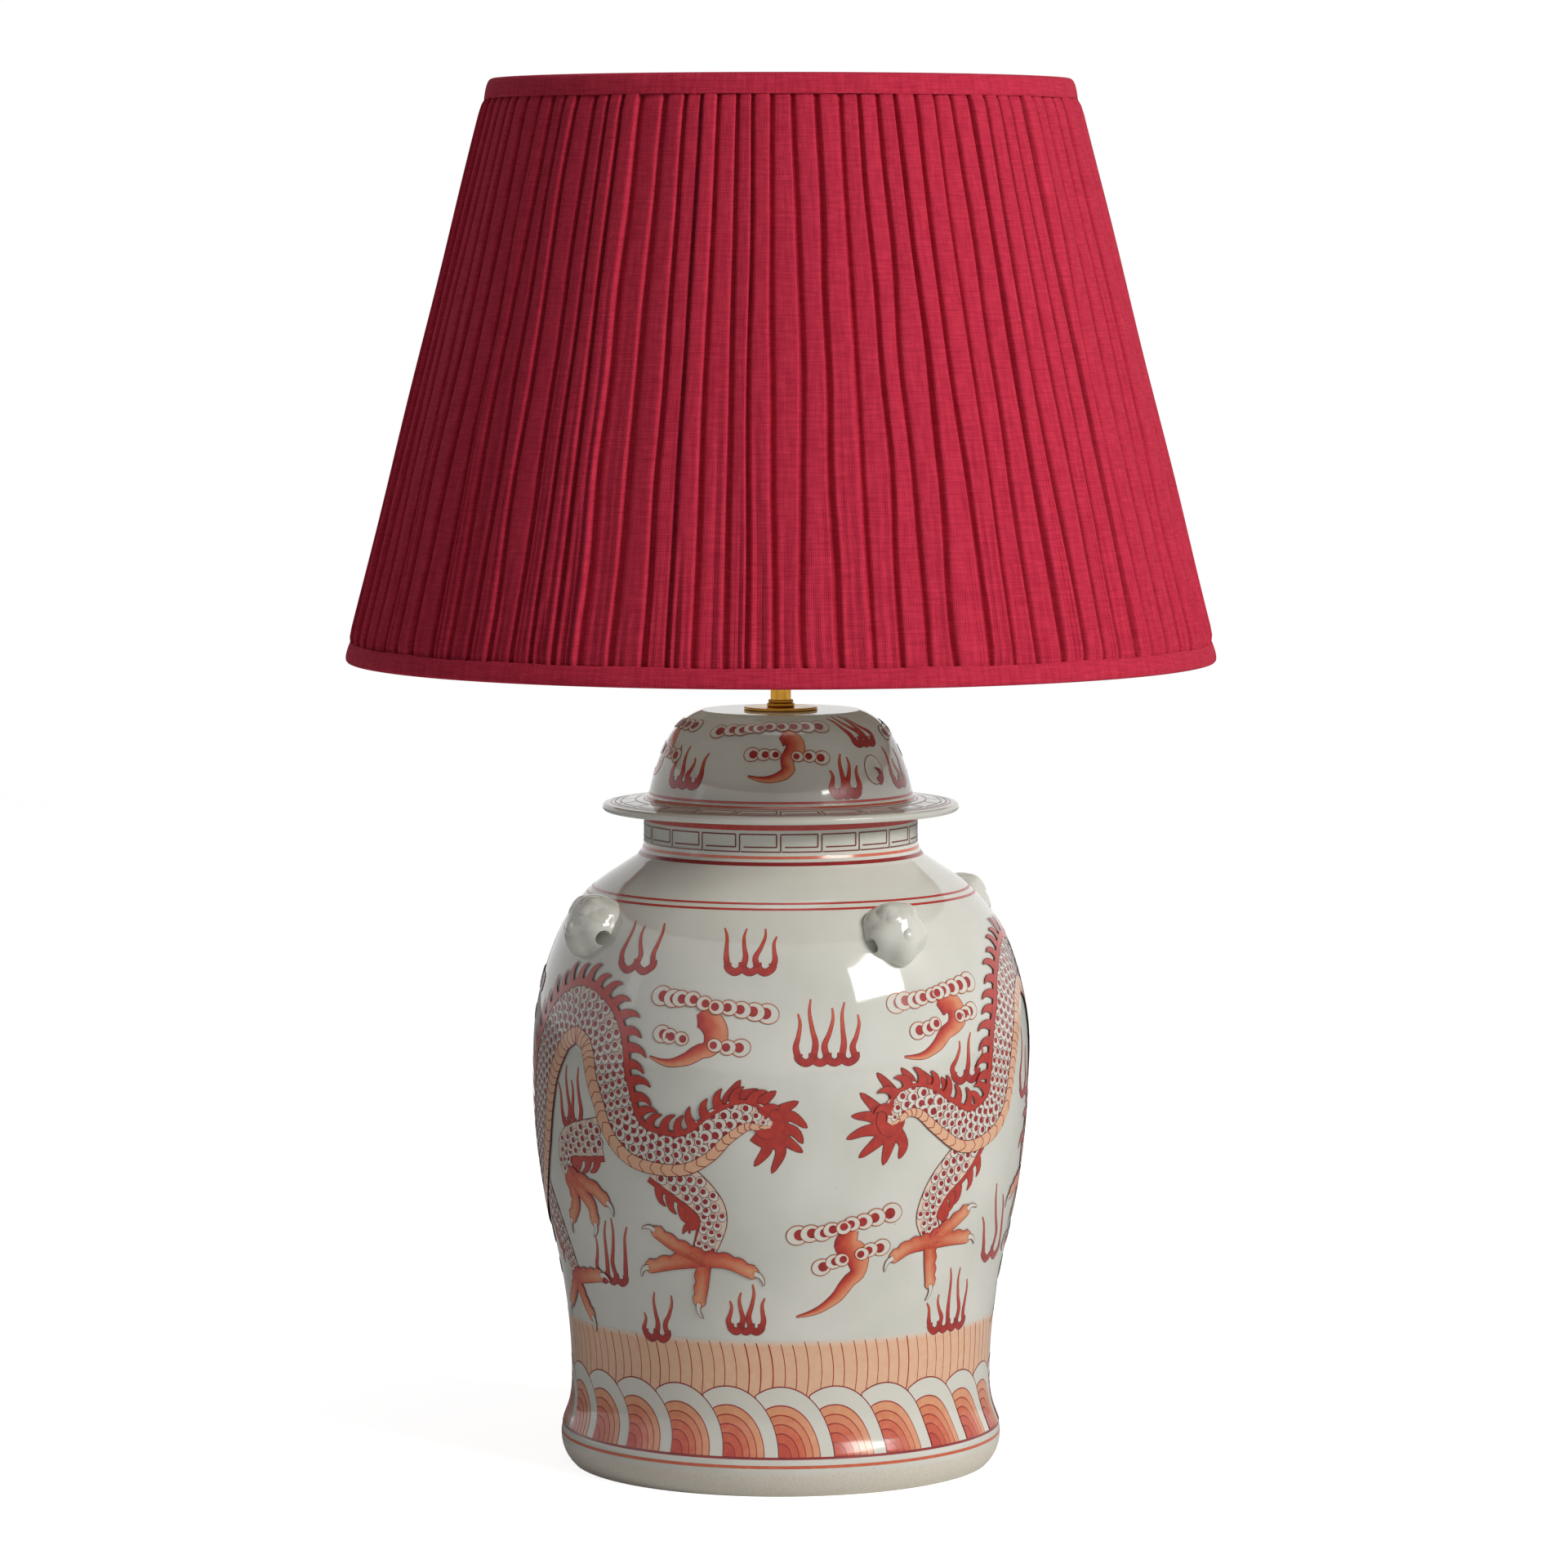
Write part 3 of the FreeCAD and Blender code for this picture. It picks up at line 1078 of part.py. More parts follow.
for piece in doc.Objects:
    if "Invalid" in piece.State or "Error" in piece.State:
        raise RuntimeError("%s failed: %s" % (piece.Name, piece.State))
os.makedirs("parts", exist_ok=True)
for node in NODES:
    piece = doc.getObjectsByLabel(node)[0]
    shape = piece.Shape
    if shape.isNull() or not shape.isValid() or not shape.Solids:
        raise RuntimeError("%s has no valid solid" % node)
for node in NODES:
    doc.getObjectsByLabel(node)[0].Shape.exportStep("parts/%s.step" % node)
print("%d nodes written" % len(NODES))
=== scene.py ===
"""Ginger jar lamp: the looks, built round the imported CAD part.

The porcelain, the metalwork and the shade's frame and lining are the CAD nodes with their own materials.
New here are the pleated linen cover with its two folded bands, the four animal masks, and the painting.
The painting is thin coats of enamel laid on the glaze. It is drawn on a chart of the wall: across is the
way round the pot, up is the way along its outline, both in millimetres, so a stroke keeps its width.
"""

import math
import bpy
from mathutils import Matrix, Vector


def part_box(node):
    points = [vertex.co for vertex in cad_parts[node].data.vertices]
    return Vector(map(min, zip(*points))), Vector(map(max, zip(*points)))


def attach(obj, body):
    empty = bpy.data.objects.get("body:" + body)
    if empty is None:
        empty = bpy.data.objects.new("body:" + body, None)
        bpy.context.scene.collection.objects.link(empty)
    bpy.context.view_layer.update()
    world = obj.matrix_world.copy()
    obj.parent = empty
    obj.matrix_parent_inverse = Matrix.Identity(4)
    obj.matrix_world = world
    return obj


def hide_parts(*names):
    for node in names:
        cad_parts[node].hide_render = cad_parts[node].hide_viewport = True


bl_info = {
    "name": "Ginger Jar Lamp",
    "version": (1, 0, 0),
    "blender": (4, 5, 0),
    "location": "3D View > Sidebar > Lamp",
    "description": "Pleated shade, animal masks and iron-red painting for a ginger jar lamp",
    "category": "Add Mesh",
}

import bpy
import numpy as np
from mathutils import Matrix, Vector
from mathutils.bvhtree import BVHTree

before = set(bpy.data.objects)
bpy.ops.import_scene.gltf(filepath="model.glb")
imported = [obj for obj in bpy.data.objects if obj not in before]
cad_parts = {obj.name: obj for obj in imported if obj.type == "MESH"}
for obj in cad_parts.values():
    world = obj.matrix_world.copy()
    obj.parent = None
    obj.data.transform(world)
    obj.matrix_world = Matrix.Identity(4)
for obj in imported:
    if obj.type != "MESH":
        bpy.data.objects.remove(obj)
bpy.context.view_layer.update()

MM = 0.001
FRONT = -math.pi / 2  # the lamp faces -Y; azimuths count from there, towards its own left (+X)


# ---------------------------------------------------------------------------------------------------------
# Meshes
# ---------------------------------------------------------------------------------------------------------


def run_of(path):
    """Distance along a path at each of its points."""
    return np.concatenate([[0], np.cumsum(np.linalg.norm(np.diff(path, axis=0), axis=1))])


def read_off(rows, run, distances):
    """Rows of numbers that belong to the distances `run`, read off at other distances."""
    return np.column_stack([np.interp(distances, run, column) for column in np.transpose(rows)])


def new_piece(name, points, faces, body, material, tone=None, uv=None):
    """A smooth-shaded mesh that rides on a body. points are rows in metres. faces is a list of arrays of
    corner numbers, one face a row, so each array holds faces with one number of corners."""
    loops = np.concatenate([rows.ravel() for rows in faces]).astype(np.int32)
    sizes = np.concatenate([np.full(len(rows), rows.shape[1]) for rows in faces]).astype(np.int32)
    mesh = bpy.data.meshes.new(name)
    mesh.vertices.add(len(points))
    mesh.vertices.foreach_set("co", np.asarray(points, np.float32).ravel())
    mesh.loops.add(len(loops))
    mesh.loops.foreach_set("vertex_index", loops)
    mesh.polygons.add(len(sizes))
    mesh.polygons.foreach_set("loop_start", np.concatenate([[0], np.cumsum(sizes)[:-1]]).astype(np.int32))
    mesh.polygons.foreach_set("loop_total", sizes)
    mesh.update(calc_edges=True)
    mesh.polygons.foreach_set("use_smooth", np.ones(len(sizes), bool))
    if tone is not None:
        mesh.attributes.new("tone", "FLOAT", "POINT").data.foreach_set("value", np.asarray(tone, np.float32))
    if uv is not None:
        mesh.uv_layers.new(name="cloth").data.foreach_set("uv", np.asarray(uv, np.float32).ravel())
    if mesh.validate():
        raise RuntimeError(name + ": the mesh had faulty faces")
    mesh.materials.append(material)
    piece = bpy.data.objects.new(name, mesh)
    bpy.context.scene.collection.objects.link(piece)
    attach(piece, body)
    return piece


def grid_faces(rows, columns, around=False):
    """Corner numbers of the quads of a grid whose point (i, j) is number i * columns + j. With around, the
    last column is joined to the first."""
    index = np.arange(rows * columns).reshape(rows, columns)
    if around:
        index = np.column_stack([index, index[:, :1]])
    return np.stack([index[:-1, :-1], index[:-1, 1:], index[1:, 1:], index[1:, :-1]], -1).reshape(-1, 4)


def cloth_map(across, along):
    """The cloth map of a grid's quads, from the distances in metres of its columns and of its rows."""
    u = np.stack([across[:-1], across[1:], across[1:], across[:-1]], -1)
    v = np.stack([along[:-1], along[:-1], along[1:], along[1:]], -1)
    shape = (len(v), len(u), 4)
    return np.stack([np.broadcast_to(u[None], shape), np.broadcast_to(v[:, None], shape)], -1)


def smooth_path(points, step):
    """Points about every `step` along the curve through the given ones: each stretch is a cubic that leaves a
    point in the direction from the one before it to the one after it."""
    p = np.asarray(points, float)
    ends = np.vstack([2 * p[0] - p[1], p, 2 * p[-1] - p[-2]])
    samples = 24  # of each stretch
    t = np.linspace(0, len(p) - 1, samples * (len(p) - 1) + 1)
    i = np.minimum(t.astype(int), len(p) - 2)
    u = (t - i)[:, None]
    a, b, c, d = ends[i], ends[i + 1], ends[i + 2], ends[i + 3]
    q = 0.5 * (2 * b + (c - a) * u + (2 * a - 5 * b + 4 * c - d) * u**2 + (3 * b - a - 3 * c + d) * u**3)
    run = run_of(q)
    return read_off(q, run, np.linspace(0, run[-1], max(3, int(run[-1] / step) + 2)))


def directions(path):
    """Unit tangent and left-hand normal at each point of a flat path."""
    tangent = np.gradient(path, axis=0)
    tangent /= np.maximum(np.linalg.norm(tangent, axis=1, keepdims=True), 1e-9)
    return tangent, np.column_stack([-tangent[:, 1], tangent[:, 0]])


# ---------------------------------------------------------------------------------------------------------
# The painter's chart
# ---------------------------------------------------------------------------------------------------------


GIRTH = {"jar_body": 140, "jar_lid": 72}  # mm: the radius at which a chart's x is true to size
WALL_LEVELS = 1600
WALL_END = 0.02 * MM  # the outermost rays' distance from the node's ends
WALL_TURNS = (0, 1.3, 2.1, 3.4, 4.2)  # degrees: the outermost hit counts, as the mesh is faceted


class Wall:
    """The outer face of a turned CAD node, found by level rays towards its axis. A chart point (x, y) lies
    x / girth radians round from the front and y along the outline. A coat lifts it along the normal."""

    def __init__(self, node):
        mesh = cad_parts[node].data
        tree = BVHTree.FromPolygons([v.co for v in mesh.vertices], [p.vertices for p in mesh.polygons])
        lo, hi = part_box(node)
        levels = np.linspace(lo[2] + WALL_END, hi[2] - WALL_END, WALL_LEVELS)
        radius = np.zeros(len(levels))
        for turn in FRONT + np.radians(WALL_TURNS):
            out = Vector((math.cos(turn), math.sin(turn), 0))
            hits = [tree.ray_cast(out + Vector((0, 0, z)), -out)[0] for z in levels]
            radius = np.maximum(radius, [math.hypot(h.x, h.y) if h else 0 for h in hits])
        self.girth = GIRTH[node]
        self.r = radius / MM
        self.z = levels / MM
        self.s = run_of(np.column_stack([self.r, self.z]))
        slope_r = np.gradient(self.r, self.s)
        slope_z = np.gradient(self.z, self.s)
        size = np.hypot(slope_r, slope_z)
        self.out_r = slope_z / size
        self.out_z = -slope_r / size

    def chart(self, places):
        """Chart points of places given as (azimuth in degrees, height in mm)."""
        p = np.asarray(places, float)
        return np.stack([np.radians(p[..., 0]) * self.girth, np.interp(p[..., 1], self.z, self.s)], -1)

    def up(self, height):
        """Distance along the outline at a height."""
        return float(np.interp(height, self.z, self.s))

    def radius(self, y):
        """The wall's radius at a distance along its outline."""
        return np.interp(y, self.s, self.r)

    def points(self, xy, coat):
        """Points in metres that lie `coat` mm over the wall at chart points."""
        turn = FRONT + xy[:, 0] / self.girth
        wall = np.column_stack([self.r, self.out_r, self.z, self.out_z])
        r, out_r, z, out_z = read_off(wall, self.s, xy[:, 1]).T
        r = r + coat * out_r
        return np.column_stack([r * np.cos(turn), r * np.sin(turn), z + coat * out_z]) * MM


# tones, from bare glaze to outline
BARE, BLUSH, PEACH, CORAL, RED, DEEP, LINE = 0.0, 0.14, 0.32, 0.52, 0.72, 0.86, 1.0
COAT = 0.09  # mm: first coat over the wall's own mesh
STEP = 0.05  # mm: each coat over the last
THINNEST = 0.02  # mm: least half width of a stroke
RING_POINTS = 361  # round a band, one for each degree


class Painting:
    """Coats of enamel on one node's wall, gathered into one mesh with a tone at each vertex."""

    def __init__(self, wall):
        self.wall = wall
        self.points, self.faces, self.tones = [], [], []
        self.count = 0

    def keep(self, xy, faces, tone, coat):
        """Keeps chart points, and faces that number them from the first of these points on."""
        self.points.append(self.wall.points(xy, COAT + STEP * coat))
        self.faces.append(faces + self.count)
        self.tones.append(tone)
        self.count += len(xy)

    def lay(self, grids, tone, coat):
        """Lays grids of chart points (..., rows, columns, 2), each face turned to point out of the wall."""
        g = np.asarray(grids, float)
        rows, columns = g.shape[-3:-1]
        g = g.reshape(-1, rows, columns, 2)
        tone = np.broadcast_to(tone, g.shape[:-1])
        across = g[:, 0, -1] - g[:, 0, 0] + g[:, -1, -1] - g[:, -1, 0]
        along = g[:, -1, 0] - g[:, 0, 0] + g[:, -1, -1] - g[:, 0, -1]
        if (across[:, 0] * along[:, 1] - across[:, 1] * along[:, 0]).sum() < 0:
            g = g[:, :, ::-1]
            tone = tone[:, :, ::-1]
        starts = np.arange(len(g)) * rows * columns
        faces = grid_faces(rows, columns)[None] + starts[:, None, None]
        self.keep(g.reshape(-1, 2), faces.reshape(-1, 4), tone.ravel(), coat)

    def blade(self, path, left, right, tone, coat, columns=5):
        """A shape along chart points that reaches `left` to one side of them and `right` to the other."""
        side = directions(path)[1]
        share = np.linspace(1, -1, columns)
        left, right = (np.reshape(np.maximum(reach, THINNEST), (-1, 1)) for reach in (left, right))
        reach = share * np.where(share > 0, left, right)
        self.lay(path[:, None] + side[:, None] * reach[..., None], np.asarray(tone), coat)

    def stroke(self, path, width, tone, coat, columns=3):
        """A brush stroke along chart points; width is one number or one for each point."""
        half = np.asarray(width, float) / 2
        self.blade(path, half, half, tone, coat, columns)

    def tongue(self, places, width, tone, coat, outline=0.0, step=2.2, blunt=0.12, taper=0.75):
        """A stroke that starts blunt, is widest near a sixth of its length and runs out to a point, with a
        dark edge if asked."""
        path = smooth_path(places, step)
        t = np.linspace(0, 1, len(path))
        fat = width * np.minimum(1, (t + blunt) / (blunt + 0.16)) ** 0.5 * (1 - t) ** taper * 1.15
        if outline:
            self.stroke(path, fat + 2 * outline, LINE, coat - 1)
        self.stroke(path, fat, tone, coat)

    def disc(self, centre, across, tone, coat, tall=None, turn=0.0, corners=16, tilt=0.0):
        """Oval spots of one face each, kept round where the chart is stretched. The back edge lies tilt coats
        higher than the centre and the front edge as much lower."""
        c = np.atleast_2d(centre)
        t = np.linspace(0, 2 * math.pi, corners, endpoint=False)
        half_x = np.reshape(across, (-1, 1)) / 2
        half_y = np.reshape(across if tall is None else tall, (-1, 1)) / 2
        turn = np.reshape(turn, (-1, 1))
        x = half_x * np.cos(t) * np.cos(turn) - half_y * np.sin(t) * np.sin(turn)
        y = half_x * np.cos(t) * np.sin(turn) + half_y * np.sin(t) * np.cos(turn)
        stretch = self.wall.girth / self.wall.radius(c[:, 1])[:, None]
        spots = np.stack([c[:, :1] + x * stretch, c[:, 1:] + y], -1)
        shape = spots.shape[:2]
        coats = np.broadcast_to(coat - tilt * np.cos(t), shape).ravel()
        faces = np.arange(shape[0] * shape[1]).reshape(shape)
        self.keep(spots.reshape(-1, 2), faces, np.full(faces.size, float(tone)), coats)

    def strip(self, low, high, tone, from_tone=None):
        """A band between two distances along the wall's outline; from_tone is its lower edge's tone."""
        x = np.linspace(0, 2 * math.pi, RING_POINTS) * self.wall.girth
        rows = max(2, int((high - low) / 3) + 2)
        tones = np.linspace(tone if from_tone is None else from_tone, tone, rows)
        self.lay(np.stack(np.meshgrid(x, np.linspace(low, high, rows)), -1), tones[:, None], 0)

    def ring(self, low, high, tone, from_tone=None):
        """A band round the wall between two heights."""
        self.strip(self.wall.up(low), self.wall.up(high), tone, from_tone)

    def piece(self, name):
        """Makes the painting a piece that rides on the lamp's body."""
        points = np.concatenate(self.points)
        tones = np.concatenate(self.tones)
        return new_piece(name, points, self.faces, "lamp", finish("iron_red_enamel"), tone=tones)


# ---------------------------------------------------------------------------------------------------------
# Motifs
# ---------------------------------------------------------------------------------------------------------


# a key's corners, in shares of pitch and height
KEY = ((-0.97, 0), (0, 0), (0, 1), (0.9, 1), (0.9, 0.27), (0.1, 0.27))
KEY_LINE = 0.8  # mm


def key_fret(painting, low, height, pitch):
    """A square key fret round the wall: each key runs along the foot, up, along the top, down and back."""
    wall = painting.wall
    y = wall.up(low)
    girth = 2 * math.pi * wall.girth
    stretch = wall.girth / wall.radius(y)
    keys = max(1, round(girth / (pitch * stretch)))
    step = girth / keys
    for k in range(keys):
        for (ax, ay), (bx, by) in zip(KEY[:-1], KEY[1:]):
            a = np.array([(k + ax) * step, y + ay * height])
            b = np.array([(k + bx) * step, y + by * height])
            path = np.linspace(a, b, 6 if ay == by else 3)
            painting.stroke(path, KEY_LINE * (stretch if ax == bx else 1), LINE, 1, columns=2)


def flame(painting, tips, low, high, foot, width=3.0):
    """Tongues of flame that rise from one scalloped root, deep red and dark-edged at the foot and orange at
    the tips. tips are (azimuth, height), low and high the root's azimuths, and foot its height."""
    wall = painting.wall
    tips = wall.chart(tips)
    roots = np.linspace(wall.chart((low, foot)), wall.chart((high, foot)), len(tips))
    for n, (tip, root) in enumerate(zip(tips, roots)):
        rise = tip - root
        bow = np.array((1.5 if n % 2 else -1.5, 0))
        low_bend = root + rise * (0, 0.25) + bow
        high_bend = root + rise * (0.75, 0.78) - bow * 0.7
        path = smooth_path([root, low_bend, root + rise * (0.4, 0.5), high_bend, tip], 1.6)
        t = np.linspace(0, 1, len(path))
        fat = width * np.interp(t, (0, 0.2, 0.45, 0.75, 1), (1.05, 1.0, 0.65, 0.42, 0.1))
        tone = np.interp(t, (0, 0.4, 1), (0.78, 0.68, CORAL))[:, None]
        painting.stroke(path, fat + 0.7, tone + 0.18, 1)
        painting.stroke(path, fat, tone, 2)
    for a, b in zip(roots[:-1], roots[1:]):
        dip = max(1.5, 0.3 * np.linalg.norm(b - a))
        path = smooth_path([a + (0, 3), a, (a + b) / 2 - (0, dip), b, b + (0, 3)], 1.2)
        painting.stroke(path, width + 1.6, 0.94, 1)
        painting.stroke(path, width + 0.8, 0.78, 2)


BEAD_COAT = 4  # the first bead's coat, over the cloud's stem


def beads(painting, places, ends, middle):
    """A row of overlapping cloud beads, the largest at the ends and lying lowest. Each has an outline, a
    blush rim, a bare face and a red heart set towards the row's middle, or towards the stem in a short row."""
    p = painting.wall.chart(places)
    n = len(p)
    t = np.abs(np.linspace(-1, 1, n)) if n > 3 else np.linspace(1, 0.1, n)
    goal = p.mean(0) if n > 3 else 2 * p[-1] - p[0]
    for rank, k in enumerate(np.argsort(-t, kind="stable")):
        size = middle + (ends - middle) * t[k] ** 1.5
        toward = (goal - p[k]) / max(1, np.linalg.norm(goal - p[k])) * 0.1 * size
        turn = 0.25 * (1 if k < n / 2 else -1)
        # how much smaller than the bead, how far towards the goal, tone, and how much wider than tall
        layers = (
            (0, 0, 0.9, 1.12),
            (0.8, 0, 0.24, 1.12),
            (1.7, -0.25, BARE, 1.12),
            (0.45 * size, 1, 0.8, 1.0),
        )
        for level, (less, share, tone, oval) in enumerate(layers):
            coat = BEAD_COAT + rank + 0.5 * level
            place = p[k] + toward * share
            painting.disc(place, size * oval - less, tone, coat, tall=size - less, turn=turn, corners=20)


def cloud(painting, top, left, right, body, turn=0, rise=0, scale=1.0):
    """A bead cloud: a long row of beads, two short rows below it, and a red stem that curls off to a tail.
    turn and rise move a drawn cloud to another place on the wall."""
    shift = np.array((turn, rise))
    stem = smooth_path(painting.wall.chart(np.array(body) + shift), 1.6)
    t = np.linspace(0, 1, len(stem))
    stem = stem + directions(stem)[1] * (1.8 * scale * np.sin(3 * math.pi * t))[:, None]
    # the lobes, as reach to the viewer's right and left of the stem's line
    places = (0, 0.10, 0.20, 0.28, 0.36, 0.46, 0.54, 0.62, 0.72, 0.86, 1)
    right_side = scale * np.interp(t, places, (4, 5, 7.5, 8.5, 6, 3.5, 4.2, 4.4, 2.8, 1.5, 0.3))
    left_side = scale * np.interp(t, places, (5, 9, 8, 5, 3.4, 4.5, 4, 2.6, 2.2, 1.5, 0.3))
    tone = np.interp(t, (0, 0.5, 1), (0.04, 0.02, 0))[:, None] + (0.38, 0.36, 0.42, 0.5, 0.6, 0.7, 0.76)
    painting.blade(stem, right_side + 0.4, left_side + 0.4, 0.9, 1, 7)
    painting.blade(stem, right_side, left_side, tone, 2, 7)
    for row, ends, middle in ((left, 10.5, 8), (right[::-1], 10.5, 8), (top, 12, 8.5)):
        beads(painting, np.array(row) + shift, ends * scale, middle * scale)


def pearl(painting, place, across):
    """A pearl: thin ring, bare face and a red comma inside."""
    centre = painting.wall.chart(place)
    painting.disc(centre, across, 0.9, 1, tall=across * 1.2, corners=28)
    painting.disc(centre, across - 1, BARE, 2, tall=across * 1.2 - 1, corners=28)
    comma = centre + across * np.array([(0.1, -0.5), (0.32, -0.3), (0.3, -0.08), (0.02, 0.1)])
    painting.tongue(comma, across * 0.36, DEEP, 3, blunt=0.4)


# ---------------------------------------------------------------------------------------------------------
# Dragons
# ---------------------------------------------------------------------------------------------------------

# Each dragon's body from tail to neck, as (azimuth, height). They go round both sides and meet at the back.
LEFT_BODY = (
    (-2, 216), (-8, 221), (-14, 213), (-18, 204), (-23, 198), (-29, 198), (-35, 202), (-39, 212), (-41, 226),
    (-43, 240), (-44, 254), (-47, 266), (-54, 273), (-61, 266), (-65, 255), (-69, 240), (-72, 222),
    (-76, 197), (-84, 170), (-97, 152), (-112, 158), (-121, 180), (-128, 206), (-138, 222), (-149, 226),
)  # fmt: skip
RIGHT_BODY = (
    (25, 215), (29, 226), (34, 226), (40, 216), (47, 207), (54, 210), (59, 219), (61, 235), (63, 254),
    (66, 268), (70, 284), (79, 295), (88, 288), (95, 268), (99, 240), (104, 206), (112, 180), (124, 168),
    (136, 180), (144, 204), (151, 224),
)  # fmt: skip
# The tail's spikes, each from its root to its tip
LEFT_TAIL = (
    ((-9, 222), (-12, 228), (-9, 241)), ((-8, 222), (-10, 230), (-5, 236)), ((-5, 222), (-4, 229), (-1, 235)),
    ((-2, 219), (0, 224), (4, 229)), ((-1, 216), (2, 221), (6, 214)), ((-1, 214), (3, 212), (5, 205)),
    ((-2, 212), (1, 207), (5, 200)), ((-4, 210), (0, 202), (-2, 188)), ((-6, 210), (-3, 203), (-6, 192)),
)  # fmt: skip
RIGHT_TAIL = (
    ((25, 216), (21, 226), (18, 233)), ((24, 214), (21, 219), (16, 220)), ((24, 212), (19, 211), (15, 207)),
    ((25, 210), (21, 202), (18, 196)), ((26, 209), (25, 200), (24, 191)), ((27, 210), (29, 202), (28, 194)),
    ((27, 220), (26, 232), (22, 244)), ((29, 222), (31, 236), (28, 246)), ((31, 224), (36, 234), (33, 244)),
    ((34, 224), (40, 231), (39, 239)), ((37, 221), (44, 224), (44, 232)),
)  # fmt: skip


BODY_HALF = 18.5  # mm: half the width of a full-grown body
TAIL_HALF = 9.0  # mm: half its width at the tail's tuft
LEG_WIDTH = 19.0  # mm: what a leg's width is counted from
CREST_FOOT = 0.97  # share of the half width at which the spikes stand
SKIN = (-0.47, 0.79)  # shares of the half width between which the scales lie
SCALE_PITCH = 5.3  # mm from row to row along the body
SCALE_WIDTH = 5.6  # mm: the width that a row is divided by
PLATE_PITCH = 6.0  # mm from one belly plate to the next
SPIKE_PITCH = 9.4  # mm from spike to spike along the crest
LEG_SCALE_PITCH = 9.6  # mm between a leg's rows of two scales; the rows of three lie half way between
# A scale's layers: length, width, shift towards the head, and tone
SCALE_LAYERS = ((7.9, 7.3, 0, 0.9), (7.1, 6.6, 0.05, BARE), (3.8, 4.1, 0.7, 0.82))


def scales(painting, centre, ahead, size, coat):
    """Overlapping scales: each a dark rim, a bare face and a red dot set towards the head. They are tipped,
    so that a scale's tailward edge lies on the row behind it."""
    turn = np.arctan2(ahead[:, 1], ahead[:, 0])
    size = np.broadcast_to(size, len(centre))
    for level, (length, width, shift, tone) in enumerate(SCALE_LAYERS):
        shape = dict(tall=width * size, turn=turn, corners=12, tilt=1.5)
        painting.disc(centre + ahead * shift, length * size, tone, coat + 0.5 * level, **shape)


def dragon_body(painting, places, belly_side, coat):
    """A scaled body along a path: a dark ribbon with a blush one on it, rows of three-part scales, a red
    crest with curved spikes on the outer side, and plates on the belly side (+1 left of the path, -1 right)."""
    wall = painting.wall
    path = smooth_path(wall.chart(places), 2.0)
    tangent, side = directions(path)
    run = run_of(path)
    length = run[-1]
    growth = (2, TAIL_HALF * 0.7, TAIL_HALF, BODY_HALF * 0.68, BODY_HALF, BODY_HALF, BODY_HALF * 0.8)
    halves = np.interp(run / length, (0, 0.012, 0.03, 0.12, 0.3, 0.94, 1), growth)

    # ribbons between two shares of the half width, counted from the belly (-1) to the crest (+1)
    edge = 0.55 / BODY_HALF
    for inner, outer, tone, level, columns in (
        (-1 - edge, 1 + edge, LINE, 0, 9),
        (-0.98, 0.98, BLUSH, 1, 9),
        (0.78, 1.0, RED, 6, 3),
        (-0.99, -0.48, 0.28, 6, 3),
        (-0.49, -0.46, LINE, 7, 2),
        (0.765, 0.79, LINE, 7, 2),
    ):
        shares = np.linspace(outer, inner, columns)
        ribbon = path[:, None] - side[:, None] * (belly_side * halves[:, None] * shares)[..., None]
        painting.lay(ribbon, tone, coat + level)
    painting.disc(path[0] + tangent[0] * 2, 2 * TAIL_HALF, RED, coat - 1, corners=24)

    def at(distance, share):
        """Chart point, direction and half width at a distance along the body and a share of its width."""
        ahead = read_off(tangent, run, distance)
        ahead /= np.linalg.norm(ahead, axis=1, keepdims=True)
        wide = np.interp(distance, run, halves)
        left = np.column_stack([-ahead[:, 1], ahead[:, 0]])
        return read_off(path, run, distance) - left * (belly_side * wide * share)[:, None], ahead, wide

    # scales: rows across the body, every other row set half a scale over
    for row, distance in enumerate(np.arange(4, length - 2, SCALE_PITCH)):
        band = (SKIN[1] - SKIN[0]) * np.interp(distance, run, halves)
        count = max(2, round(band / SCALE_WIDTH))
        place = (np.arange(count + row % 2) + (0.0 if row % 2 else 0.5)) / count
        share = SKIN[0] + (SKIN[1] - SKIN[0]) * place
        centre, ahead, _ = at(np.full(len(share), distance), share)
        scales(painting, centre, ahead, 0.16 * band / count, coat + 3)

    # belly plates: a bowed line across the belly for each
    distance = np.arange(3, length - 2, PLATE_PITCH)
    bows = ((0, -1.0), (3.0, -0.76), (1.6, -0.48))
    for places in zip(*(at(distance + bow, np.full(len(distance), share))[0] for bow, share in bows)):
        painting.stroke(smooth_path(places, 2.0), 0.5, 0.82, coat + 7, columns=2)

    # crest: hooked spikes, curved back towards the tail and even along the crest's own edge
    edge_run = run_of(at(run, np.full(len(run), CREST_FOOT))[0])
    distance = np.interp(np.arange(5, edge_run[-1] - 3, SPIKE_PITCH), edge_run, run)
    foot, ahead, wide = at(distance, np.full(len(distance), CREST_FOOT))
    out = foot - at(distance, np.full(len(distance), 0.5))[0]
    out /= np.linalg.norm(out, axis=1, keepdims=True)
    for k, (f, a, o, w) in enumerate(zip(foot, ahead, out, wide)):
        tall = (9.5 + 2 * (k % 2)) * (0.5 + 0.5 * w / BODY_HALF)
        spine = [
            f - o * 2 + a * 2.5,
            f + o * 0.4 * tall + a * 1.8,
            f + o * 0.8 * tall - a * 0.8,
            f + o * tall - a * 4.6,
        ]
        painting.tongue(spine, 5.8, RED, coat + 5, outline=0.4, blunt=0.6)


